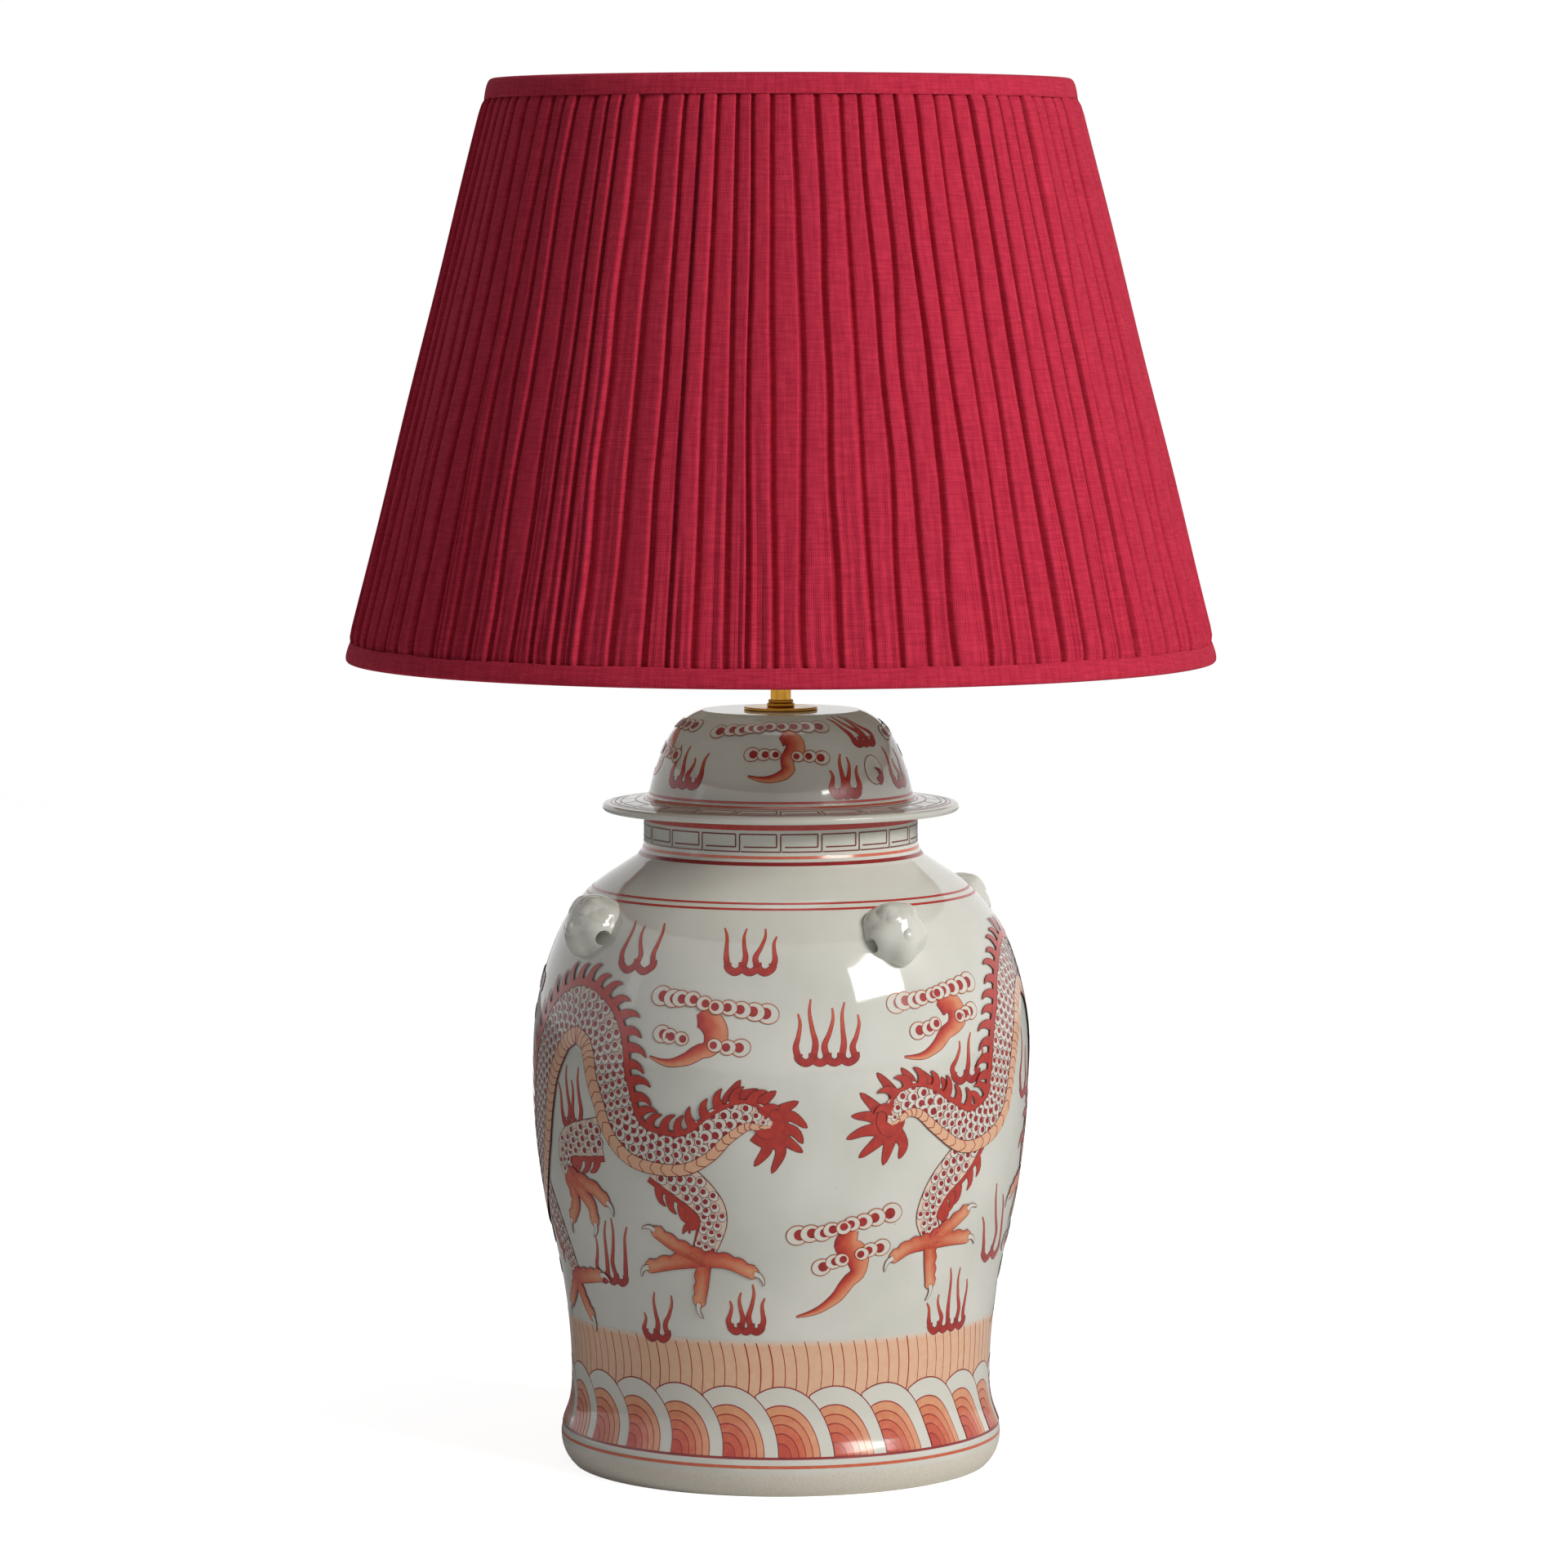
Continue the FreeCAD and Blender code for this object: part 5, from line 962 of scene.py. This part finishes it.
def finish(name):
    """The material of that name, made the first time it is asked for."""
    material = bpy.data.materials.get(name)
    if material is None:
        material = bpy.data.materials.new(name)
        material.use_nodes = True
        tree = material.node_tree
        tree.nodes.clear()
        fill, *values = FINISHES[name]
        add_node(tree, "OutputMaterial", {"Surface": fill(tree, *values)})
    return material


# ---------------------------------------------------------------------------------------------------------
# Sizes and colours a user would change
# ---------------------------------------------------------------------------------------------------------


class LampShapes(bpy.types.PropertyGroup):
    """Sizes of the pieces made here."""

    pleats: bpy.props.IntProperty(
        name="Pleats",
        description="Knife pleats round the shade",
        default=96,
        min=24,
    )
    pleat_depth: bpy.props.FloatProperty(
        name="Pleat depth",
        description="How far a pleat stands proud of its fold",
        default=5.0 * MM,
        unit="LENGTH",
    )
    pleat_wander: bpy.props.FloatProperty(
        name="Pleat wander",
        description="How unevenly the pleats are laid, as a share of their width",
        default=0.17,
    )
    band_wall: bpy.props.FloatProperty(
        name="Band thickness",
        description="Thickness of the folded linen bands",
        default=1.3 * MM,
        unit="LENGTH",
    )
    lump_blend: bpy.props.FloatProperty(
        name="Glaze fill",
        description="How softly the glaze rounds the masks' hollows",
        default=1.9 * MM,
        unit="LENGTH",
    )


class LampLooks(bpy.types.PropertyGroup):
    """Colours and camera."""

    linen: bpy.props.FloatVectorProperty(
        name="Linen",
        description="Raspberry linen",
        subtype="COLOR",
        size=4,
        min=0,
        max=1,
        default=colour("DC3A54"),
    )
    linen_dark: bpy.props.FloatVectorProperty(
        name="Linen, dark yarn",
        description="Darker yarn of the linen",
        subtype="COLOR",
        size=4,
        min=0,
        max=1,
        default=colour("9E1230"),
    )
    iron_red: bpy.props.FloatVectorProperty(
        name="Iron red",
        description="Iron-red enamel",
        subtype="COLOR",
        size=4,
        min=0,
        max=1,
        default=colour("BE382C"),
    )
    lens: bpy.props.FloatProperty(name="Lens", description="Focal length in mm", default=150.0)
    camera_distance: bpy.props.FloatProperty(
        name="Camera distance",
        description="From the lamp's axis",
        default=3.781,
        unit="LENGTH",
    )
    camera_height: bpy.props.FloatProperty(
        name="Camera height",
        description="Over the floor",
        default=0.7158,
        unit="LENGTH",
    )
    camera_tilt: bpy.props.FloatProperty(
        name="Camera tilt",
        description="Downwards",
        default=math.radians(4.84),
        subtype="ANGLE",
        unit="ROTATION",
    )


# ---------------------------------------------------------------------------------------------------------
# Operators
# ---------------------------------------------------------------------------------------------------------


class LAMP_OT_cad_finishes(bpy.types.Operator):
    """Give the CAD nodes their materials"""

    bl_idname = "lamp.cad_finishes"
    bl_label = "CAD finishes"

    def execute(self, context):
        for name, nodes in CAD_FINISHES.items():
            for node in nodes:
                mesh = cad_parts[node].data
                mesh.materials.clear()
                mesh.materials.append(finish(name))
        return {"FINISHED"}


def lining_radius():
    """The lining's outer face as a straight line: radius against height, from the node's two ends."""
    lo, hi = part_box("shade_lining")
    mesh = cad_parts["shade_lining"].data
    co = np.empty((len(mesh.vertices), 3))
    mesh.vertices.foreach_get("co", co.ravel())
    r = np.hypot(co[:, 0], co[:, 1])
    end = 0.5 * MM  # what counts as an end of the node
    foot = r[co[:, 2] < lo[2] + end].max()
    top = r[co[:, 2] > hi[2] - end].max()
    return lambda z: foot + (np.asarray(z) - lo[2]) * (top - foot) / (hi[2] - lo[2])


TURNED_IN = 2.0 * MM  # how far the cover runs on under each band, past the CAD cover
TUCK = 7 * MM  # how far from an edge the pleats begin to flatten
COVER_GAP = 0.45 * MM  # from the lining to the bottom of a fold
COVER_ROWS = 60  # of points up the cover
# A pleat's section: shares of its width and of its depth
PLEAT_ALONG = (0, 0.025, 0.05, 0.08, 0.12, 0.18, 0.27, 0.36, 0.46, 0.56, 0.66, 0.76, 0.83, 0.845, 0.84, 0.86)
PLEAT_STAND = (0, 0.26, 0.52, 0.72, 0.84, 0.90, 0.93, 0.95, 0.96, 0.97, 0.99, 1.0, 0.92, 0.62, 0.3, 0.05)
PLEAT_BENDS = ((0.7, 0.10), (1.6, 0.05), (3.1, 0.022))  # waves up an edge, and their size in pleat widths
PLEAT_DENTS = ((0.32, 0.07, 0.9), (0.58, 0.065, 0.8))  # the smaller folds' place, spread and depth
# A band's section: mm out from the lining, and share of the CAD band's height
BAND_HOOK = (
    (3.9, 0.99), (4.25, 0.8), (4.5, 0.5), (4.35, 0.25), (3.6, 0.09),
    (2.0, 0.055), (-3.0, 0.055), (-4.8, 0.1), (-5.3, 0.3), (-5.3, 0.95),
)  # fmt: skip
BAND_COLUMNS = 720
BAND_WAVES = (5, 9, 17, 31, 53, 96, 141)  # waves round the band


class LAMP_OT_shade_cover(bpy.types.Operator):
    """Lay the knife-pleated linen over the lining"""

    bl_idname = "lamp.shade_cover"
    bl_label = "Pleated cover"

    def execute(self, context):
        """A pleat's section, in shares of its width and depth: out of the fold, over a flat face, round a crisp
        edge and back under it. The section is carried round the lining once for each pleat, and up it from band
        to band. Widths, depths and the edges' lines wander a little, and towards the foot each face breaks into
        smaller folds."""
        shapes = context.scene.lamp_shapes
        count = shapes.pleats
        wander = shapes.pleat_wander
        rng = np.random.default_rng(7)
        lo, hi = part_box("shade_cover")
        low = lo[2] - TURNED_IN
        high = hi[2] + TURNED_IN
        v = np.linspace(0, 1, COVER_ROWS)[:, None]
        z = low + (high - low) * v
        # the pleats' edges, as shares of the whole turn, wander and bend on their way up
        foot_share = 1 + wander * rng.standard_normal(count).clip(-2, 2)
        top_share = foot_share * (1 + 0.5 * wander * rng.standard_normal(count).clip(-2, 2))
        share = foot_share * (1 - v) + top_share * v
        edge = np.pad(np.cumsum(share, 1), ((0, 0), (1, 0))) / share.sum(1, keepdims=True)
        bend = np.zeros((COVER_ROWS, count))
        for waves, size in PLEAT_BENDS:
            phase = rng.uniform(0, 2 * math.pi, count)
            bend += size * rng.standard_normal(count) * np.sin(2 * math.pi * waves * v + phase)
        bend *= np.sin(math.pi * v) ** 0.5
        start = edge[:, :-1] + bend * np.diff(edge, axis=1)
        after = np.roll(start, -1, axis=1)
        after[:, -1] += 1
        f = np.broadcast_to(np.array(PLEAT_ALONG), (COVER_ROWS, count, len(PLEAT_ALONG)))
        turn = 2 * math.pi * (start[..., None] + f * (after - start)[..., None])
        depth = shapes.pleat_depth * (1 + 0.16 * rng.standard_normal(count).clip(-1.5, 1.2))
        lean = rng.uniform(-0.3, 0.3, count)
        tuck = np.clip(np.minimum(z - low, high - z) / TUCK, 0, 1) ** 0.7
        # smaller folds: a dent along the flat face that starts part way down and deepens to the foot
        dent = np.zeros(f.shape)
        for centre, spread, deepest in PLEAT_DENTS:
            begins = rng.uniform(0.10, 0.75, count)
            place = centre + rng.uniform(-0.07, 0.07, count)
            fall = np.clip((begins - v) / np.maximum(begins, 0.1), 0, 1) ** 0.8
            strength = deepest * rng.uniform(0.2, 1, count) * fall
            dent += strength[..., None] * np.exp(-(((f - place[:, None]) / spread) ** 2))
        face = np.array(PLEAT_STAND) * (1 - dent) * (1 + lean[:, None] * (f - 0.55))
        creep = 0.04 * np.sin(2 * math.pi * 2.3 * v + rng.uniform(0, 6.3, count))
        proud = depth[:, None] * (0.62 + 0.38 * tuck[..., None]) * face * (1 + creep[..., None])
        radius = lining_radius()(z)[..., None] + COVER_GAP + proud
        level = np.broadcast_to(z[..., None], f.shape)
        points = np.stack([radius * np.cos(turn), radius * np.sin(turn), level], -1).reshape(COVER_ROWS, -1, 3)
        middle = points[COVER_ROWS // 2]
        uv = cloth_map(run_of(np.vstack([middle, middle[:1]])), z[:, 0])
        faces = grid_faces(*points.shape[:2], around=True)
        linen = finish("raspberry_linen")
        points = points.reshape(-1, 3)
        cover = new_piece("pleated_cover", points, [faces], "shade", linen, uv=uv)
        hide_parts("shade_cover")
        return {"FINISHED"}


class LAMP_OT_shade_bands(bpy.types.Operator):
    """Fold the linen bands over the shade's two edges"""

    bl_idname = "lamp.shade_bands"
    bl_label = "Linen bands"

    def execute(self, context):
        """A band's section is a strip of even thickness along a hook: up outside the pleats, over the lining's
        edge and back inside. It is carried once round the shade, and its edge and faces wander like hand-sewn
        cloth."""
        half = context.scene.lamp_shapes.band_wall / MM / 2
        radius = lining_radius()
        linen = finish("folded_linen")
        turns = np.linspace(0, 2 * math.pi, BAND_COLUMNS + 1)
        t = turns[:-1]
        for name, sign, seed in (("bottom_trim", 1, 3), ("top_trim", -1, 5)):
            rng = np.random.default_rng(seed)
            lo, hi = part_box(name)
            edge = lo[2] if sign > 0 else hi[2]
            tall = (hi[2] - lo[2]) / MM
            line = smooth_path(np.array(BAND_HOOK) * (1, tall), 0.8)
            side = directions(line)[1]
            loop = np.vstack([line + side * half, (line - side * half)[::-1]])[::sign]
            ripple = np.zeros(BAND_COLUMNS)
            fray = np.zeros(BAND_COLUMNS)
            for waves in BAND_WAVES:
                ripple += rng.standard_normal() * np.sin(waves * t + rng.uniform(0, 6.3)) / waves**0.5
                fray += rng.standard_normal() * np.sin(waves * 2 * t + rng.uniform(0, 6.3)) / waves**0.3
            out = (loop[:, 0] > 0)[:, None]
            height = loop[:, 1:] + 0.22 * fray * (loop[:, 1:] > 0.8 * tall) * out
            z = edge + sign * height * MM
            r = radius(z) + (loop[:, :1] + 0.2 * ripple * out) * MM
            points = np.stack([r * np.cos(t), r * np.sin(t), z], -1).reshape(-1, 3)
            faces = grid_faces(len(loop) + 1, BAND_COLUMNS, around=True) % len(points)
            uv = cloth_map(turns * float(radius(edge)), run_of(np.vstack([loop, loop[:1]])) * MM)
            new_name = name.replace("trim", "band")
            band = new_piece(new_name, points, [faces], "shade", linen, uv=uv)
            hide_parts(name)
        lo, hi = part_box("shade_cover")
        return {"FINISHED"}


class LAMP_OT_mask_lugs(bpy.types.Operator):
    """Model the four animal masks on the shoulder"""

    bl_idname = "lamp.mask_lugs"
    bl_label = "Animal masks"

    def execute(self, context):
        """Seen from the mask's centre, the surface lies in each direction at a soft maximum of the distances
        at which a ray leaves the balls that make up the face. It is sunk into the wall, and pierced from cheek
        to cheek."""
        blend = context.scene.lamp_shapes.lump_blend / MM
        rings, columns = 84, 120
        theta = np.linspace(0, math.pi, rings + 2)[1:-1, None]
        phi = np.linspace(0, 2 * math.pi, columns, endpoint=False)[None]
        down = -np.cos(theta) * np.ones((rings, columns))
        rays = np.stack([np.sin(theta) * np.cos(phi), down, np.sin(theta) * np.sin(phi)], -1).reshape(-1, 3)
        rays = np.vstack([rays, (0, -1, 0), (0, 1, 0)])
        distance = np.zeros((len(LUG_LUMPS), len(rays)))
        for row, (across, out, up, radius) in zip(distance, LUG_LUMPS.values()):
            centre = np.array((across, -out, up))
            ahead = rays @ centre
            inside = ahead**2 - centre @ centre + radius**2
            row[:] = np.where(inside > 0, ahead + np.sqrt(np.maximum(inside, 0)), 0)
        nearest = distance.max(0)
        reach = nearest + blend * np.log(np.exp((distance - nearest) / blend).sum(0))
        local = rays * reach[:, None]
        caps = np.arange(columns)
        last = caps + (rings - 1) * columns
        pole = np.full(columns, rings * columns)
        front = np.column_stack([pole, np.roll(caps, -1), caps])
        back = np.column_stack([pole + 1, last, np.roll(last, -1)])
        faces = [part[:, ::-1] for part in (grid_faces(rings, columns, around=True), front, back)]
        jar = Wall("jar_body")
        lean = Matrix.Translation(LUG_CENTRE) @ Matrix.Rotation(math.radians(LUG_LEAN), 4, "X")
        for number, turn in enumerate(LUG_TURNS, 1):
            place = Matrix.Rotation(math.radians(turn), 4, "Z") @ lean
            points = local @ np.array(place.to_3x3()).T + np.array(place.translation)
            r = np.hypot(points[:, 0], points[:, 1])
            sunk = np.interp(points[:, 2], jar.z, jar.r) - LUG_SUNK
            points[:, :2] *= np.maximum(1, sunk / np.maximum(r, 1e-6))[:, None]
            name = "mask_%d" % number
            mask = new_piece(name, points * MM, faces, "lamp", finish("glazed_porcelain"))
            self.pierce(mask, place)
            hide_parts("mask_lug_%d" % number)
        return {"FINISHED"}

    def pierce(self, mask, place):
        """Cuts the eyelet: a round bar across the mask is taken away."""
        sides = EYELET_SIDES
        t = np.linspace(0, 2 * math.pi, sides, endpoint=False)
        out, up = EYELET_PLACE
        ring = np.stack([0 * t, -out + EYELET_RADIUS * np.cos(t), up + EYELET_RADIUS * np.sin(t)], -1)
        ends = [ring + (side * EYELET_HALF, 0, 0) for side in (-1, 1)]
        points = np.vstack(ends) @ np.array(place.to_3x3()).T + np.array(place.translation)
        mesh = bpy.data.meshes.new("eyelet_bar")
        quads = [(k, (k + 1) % sides, sides + (k + 1) % sides, sides + k) for k in range(sides)]
        caps = [tuple(range(sides - 1, -1, -1)), tuple(range(sides, 2 * sides))]
        mesh.from_pydata((points * MM).tolist(), [], quads + caps)
        bar = bpy.data.objects.new("eyelet_bar", mesh)
        bpy.context.scene.collection.objects.link(bar)
        cut = mask.modifiers.new("eyelet", "BOOLEAN")
        cut.operation = "DIFFERENCE"
        cut.object = bar
        cut.solver = "EXACT"
        bpy.context.view_layer.update()
        pierced = bpy.data.meshes.new_from_object(mask.evaluated_get(bpy.context.evaluated_depsgraph_get()))
        mask.modifiers.clear()
        old = mask.data
        mask.data = pierced
        pierced.name = mask.name
        bpy.data.meshes.remove(old)
        bpy.data.objects.remove(bar)
        bpy.data.meshes.remove(mesh)


# mm: heights on the jar of the border's foot, of where its wash begins to fade, and of its top
BORDER_FOOT = 23.5
BORDER_FADE = 86.5
BORDER_TOP = 90.0
BORDER_LINES = 112  # falling lines round the border, between these two heights in mm
LINE_FOOT = 50
LINE_TOP = 88.5
FANS = 25  # waves round the border, between these two heights in mm
FAN_FOOT = 23.6
FAN_TOP = 63.5
# A fan's rings: size, the tone of its outline and the tone inside
FAN_RINGS = (
    (1.0, 0.85, BARE), (0.735, 0.8, 0.34), (0.60, 0.78, 0.42),
    (0.47, 0.8, 0.5), (0.34, 0.84, 0.58), (0.2, 0.88, 0.66),
)  # fmt: skip
FAN_LINE = 0.018  # of the fan's size: the width of a ring's outline


class LAMP_OT_jar_bands(bpy.types.Operator):
    """Paint the lines, the key fret and the wave border on the jar"""

    bl_idname = "lamp.jar_bands"
    bl_label = "Jar borders"

    def execute(self, context):
        painting = Painting(Wall("jar_body"))
        wall = painting.wall
        for low, high, tone in JAR_BANDS:
            painting.ring(low, high, tone)
        key_fret(painting, 363.4, 10.0, 23.5)
        # the border at the foot: a peach wash with fine falling lines, and fans of waves in front of it
        painting.ring(BORDER_FOOT, BORDER_FADE, 0.26)
        painting.ring(BORDER_FADE, BORDER_TOP, 0.04, from_tone=0.26)
        girth = 2 * math.pi * wall.girth
        high = wall.up(LINE_TOP)
        low = wall.up(LINE_FOOT)
        rng = np.random.default_rng(11)
        t = np.linspace(0, 1, 14)
        for k in range(BORDER_LINES):
            y = high - (high - low) * t + rng.uniform(-1, 1)
            x = (k + rng.uniform(-0.08, 0.08)) * girth / BORDER_LINES + 3.0 * np.sin(math.pi * t**0.9)
            painting.stroke(np.column_stack([x, y]), rng.choice((0.45, 0.55, 0.8)), 0.78, 1, columns=2)
        self.fans(painting)
        painting.piece("jar_borders")
        return {"FINISHED"}

    def fans(self, painting):
        """Wave fans, each lying over the next one to its right. A fan is a half ellipse nearly two pitches
        wide, with a bare ring inside its outline and arches that deepen towards its middle. Only what shows of
        it is laid: at each height from the left fan's edge, or its own, to its own right edge."""
        wall = painting.wall
        foot = wall.up(FAN_FOOT)
        tall = wall.up(FAN_TOP) - foot
        pitch = 2 * math.pi * wall.girth / FANS
        wide = 0.97 * pitch
        starts = (np.arange(FANS) * pitch)[:, None, None, None] * (1, 0)
        for number, (size, line, tone) in enumerate(FAN_RINGS):
            for layer, share, shade in ((0, size, line), (1, size - FAN_LINE, tone)):
                y = share * np.sin(np.linspace(0, math.pi / 2, 26))
                own = wide * np.sqrt(np.maximum(share**2 - y**2, 0))
                left = np.minimum(np.maximum(-own, wide * np.sqrt(1 - y**2) - pitch), own)
                x = left[:, None] + (own - left)[:, None] * np.linspace(0, 1, 4)
                grid = np.stack([x, np.broadcast_to((foot + tall * y)[:, None], x.shape)], -1)
                painting.lay(grid + starts, shade, 2.5 + 1.4 * number + 0.7 * layer)


class LAMP_OT_jar_clouds(bpy.types.Operator):
    """Paint the bead clouds, the flames and the pearl on the jar"""

    bl_idname = "lamp.jar_clouds"
    bl_label = "Jar clouds and flames"

    def execute(self, context):
        painting = Painting(Wall("jar_body"))
        for drawn, turn, rise in (
            (CLOUD_LEFT, 0, 0),
            (CLOUD_RIGHT, 0, 0),
            (CLOUD_LOW, 0, 0),
            (CLOUD_LOW, -112, -28),
            (CLOUD_LOW, 75, -20),
            (CLOUD_LOW, 158, 26),
            (CLOUD_LEFT, -80, 4),
            (CLOUD_RIGHT, 76, 10),
        ):
            cloud(painting, **drawn, turn=turn, rise=rise)
        for tips, low, high, foot in JAR_FLAMES:
            flame(painting, tips, low, high, foot)
        pearl(painting, BACK_PEARL, 24)
        hub = painting.wall.chart(BACK_PEARL)
        for degrees in range(30, 390, 60):
            a = math.radians(degrees)
            out = np.array((math.cos(a), math.sin(a)))
            across = np.array((-out[1], out[0]))
            lick = [hub + out * far + across * over for far, over in ((12, 0), (18, 3), (24, 1), (32, 5))]
            painting.tongue(lick, 4.5, RED, 3, outline=0.4)
        painting.piece("jar_clouds")
        return {"FINISHED"}


class LAMP_OT_jar_dragons(bpy.types.Operator):
    """Paint the two dragons"""

    bl_idname = "lamp.jar_dragons"
    bl_label = "Jar dragons"

    def execute(self, context):
        wall = Wall("jar_body")
        for name, body, tail, legs, belly_side, head in (
            ("dragon_left", LEFT_BODY, LEFT_TAIL, LEFT_LEGS, 1, (-153, 228)),
            ("dragon_right", RIGHT_BODY, RIGHT_TAIL, RIGHT_LEGS, -1, (154, 227)),
        ):
            painting = Painting(wall)
            for spike in tail:
                painting.tongue(wall.chart(spike), 6.8, 0.74, 3, outline=0.45, blunt=0.5, taper=0.5)
            for leg in legs:
                dragon_leg(painting, *leg)
            dragon_body(painting, body, belly_side, 12)
            dragon_head(painting, head, -belly_side, 20)
            painting.piece(name)
        return {"FINISHED"}


class LAMP_OT_lid_painting(bpy.types.Operator):
    """Paint the lid"""

    bl_idname = "lamp.lid_painting"
    bl_label = "Lid painting"

    def execute(self, context):
        painting = Painting(Wall("jar_lid"))
        painting.ring(388.0, 389.0, 0.6)
        painting.ring(390.4, 391.8, RED)
        y = painting.wall.up(385.6)
        painting.strip(y + 0.4, y + 1.2, RED)
        painting.strip(y + 19.5, y + 20.6, RED)
        key_fret(painting, 385.9, 12.0, 26.0)
        for turn in (0, 180):
            cloud(painting, **CLOUD_LID, turn=turn, scale=LID_CLOUD_SCALE)
            for tips, low, high, foot in LID_FLAMES:
                flame(painting, [(a + turn, z) for a, z in tips], low + turn, high + turn, foot, width=3.2)
            pearl(painting, (48 + turn, 408), 15)
        cloud(painting, **CLOUD_LID, turn=108, rise=-3, scale=LID_CLOUD_SCALE)
        cloud(painting, **CLOUD_LID, turn=-80, rise=-1, scale=LID_CLOUD_SCALE)
        painting.piece("lid_painting")
        return {"FINISHED"}


# Each softbox: place, width and height, watts and tint
SOFTBOXES = {
    "key_softbox": ((2.55, -2.1, 2.0), 1.6, 0.85, 90.0, "FFFDF8"),
    "left_softbox": ((-2.6, -0.6, 1.2), 0.35, 1.6, 1.5, "F4F7FF"),
    "top_softbox": ((0.4, -0.6, 2.9), 1.6, 1.6, 7.0, "FFFFFF"),
}
LIT_POINT = Vector((0, 0, 0.4))  # what the softboxes are turned to: the middle of the lamp
FLOOR_HALF = 4.5  # m: half the floor's side
CAMERA_TURN = math.radians(-0.0286)  # sideways, so that the lamp's axis is where the photo has it
STUDIO_GLOW = 0.13  # the studio's light on matt surfaces; to the camera and in mirrors it is 1


class LAMP_OT_stage(bpy.types.Operator):
    """Set the floor, the studio light and the camera"""

    bl_idname = "lamp.stage"
    bl_label = "Stage"

    def execute(self, context):
        self.floor()
        self.world(context)
        for name, settings in SOFTBOXES.items():
            self.softbox(context, name, *settings)
        look = context.scene.lamp_looks
        data = bpy.data.cameras.new("camera")
        data.lens = look.lens
        data.sensor_width = 36.0
        data.clip_start = 0.1
        data.clip_end = 50.0
        camera = bpy.data.objects.new("camera", data)
        context.scene.collection.objects.link(camera)
        camera.location = (0, -look.camera_distance, look.camera_height)
        camera.rotation_euler = (math.pi / 2 - look.camera_tilt, 0, CAMERA_TURN)
        context.scene.camera = camera
        context.scene.view_settings.view_transform = "Standard"
        return {"FINISHED"}

    def floor(self):
        """A square floor under the lamp."""
        mesh = bpy.data.meshes.new("floor")
        corners = [(x * FLOOR_HALF, y * FLOOR_HALF, 0) for x, y in ((-1, -1), (1, -1), (1, 1), (-1, 1))]
        mesh.from_pydata(corners, [], [(0, 1, 2, 3)])
        mesh.materials.append(finish("studio_floor"))
        floor = bpy.data.objects.new("floor", mesh)
        bpy.context.scene.collection.objects.link(floor)

    def world(self, context):
        """A dim pale studio that is white to the camera, in mirrors and through glass."""
        world = bpy.data.worlds.new("studio")
        world.use_nodes = True
        tree = world.node_tree
        tree.nodes.clear()
        rays = add_node(tree, "LightPath", {})
        strength = STUDIO_GLOW
        for name in ("Is Camera Ray", "Is Glossy Ray", "Is Transmission Ray"):
            strength = add_node(tree, "Math", {0: rays.outputs[name], 1: strength}, operation="MAXIMUM")
        sky = add_node(tree, "Background", {"Color": (1, 1, 1, 1), "Strength": strength})
        add_node(tree, "OutputWorld", {"Surface": sky})
        context.scene.world = world

    def softbox(self, context, name, place, wide, tall, power, code):
        """A softbox turned towards the middle of the lamp."""
        data = bpy.data.lights.new(name, "AREA")
        data.shape = "RECTANGLE"
        data.size = wide
        data.size_y = tall
        data.energy = power
        data.color = colour(code)[:3]
        box = bpy.data.objects.new(name, data)
        box.location = place
        box.rotation_euler = (LIT_POINT - Vector(place)).to_track_quat("-Z", "Y").to_euler()
        context.scene.collection.objects.link(box)


class LAMP_PT_pieces(bpy.types.Panel):
    """Lists the lamp's pieces and their settings"""

    bl_idname = "LAMP_PT_pieces"
    bl_label = "Ginger jar lamp"
    bl_space_type = "VIEW_3D"
    bl_region_type = "UI"
    bl_category = "Lamp"

    def draw(self, context):
        for group in (context.scene.lamp_shapes, context.scene.lamp_looks):
            box = self.layout.box()
            for name in group.__annotations__:
                box.prop(group, name)
        for operator in OPERATORS:
            self.layout.operator(operator.bl_idname)


OPERATORS = (
    LAMP_OT_cad_finishes,
    LAMP_OT_shade_cover,
    LAMP_OT_shade_bands,
    LAMP_OT_mask_lugs,
    LAMP_OT_jar_bands,
    LAMP_OT_jar_clouds,
    LAMP_OT_jar_dragons,
    LAMP_OT_lid_painting,
    LAMP_OT_stage,
)
CLASSES = (LampShapes, LampLooks) + OPERATORS + (LAMP_PT_pieces,)


def register():
    for cls in CLASSES:
        bpy.utils.register_class(cls)
    bpy.types.Scene.lamp_shapes = bpy.props.PointerProperty(type=LampShapes)
    bpy.types.Scene.lamp_looks = bpy.props.PointerProperty(type=LampLooks)


def unregister():
    del bpy.types.Scene.lamp_looks
    del bpy.types.Scene.lamp_shapes
    for cls in reversed(CLASSES):
        bpy.utils.unregister_class(cls)


def main():
    register()
    for operator in OPERATORS:
        group, name = operator.bl_idname.split(".")
        getattr(getattr(bpy.ops, group), name)()


if __name__ == "__main__":
    main()
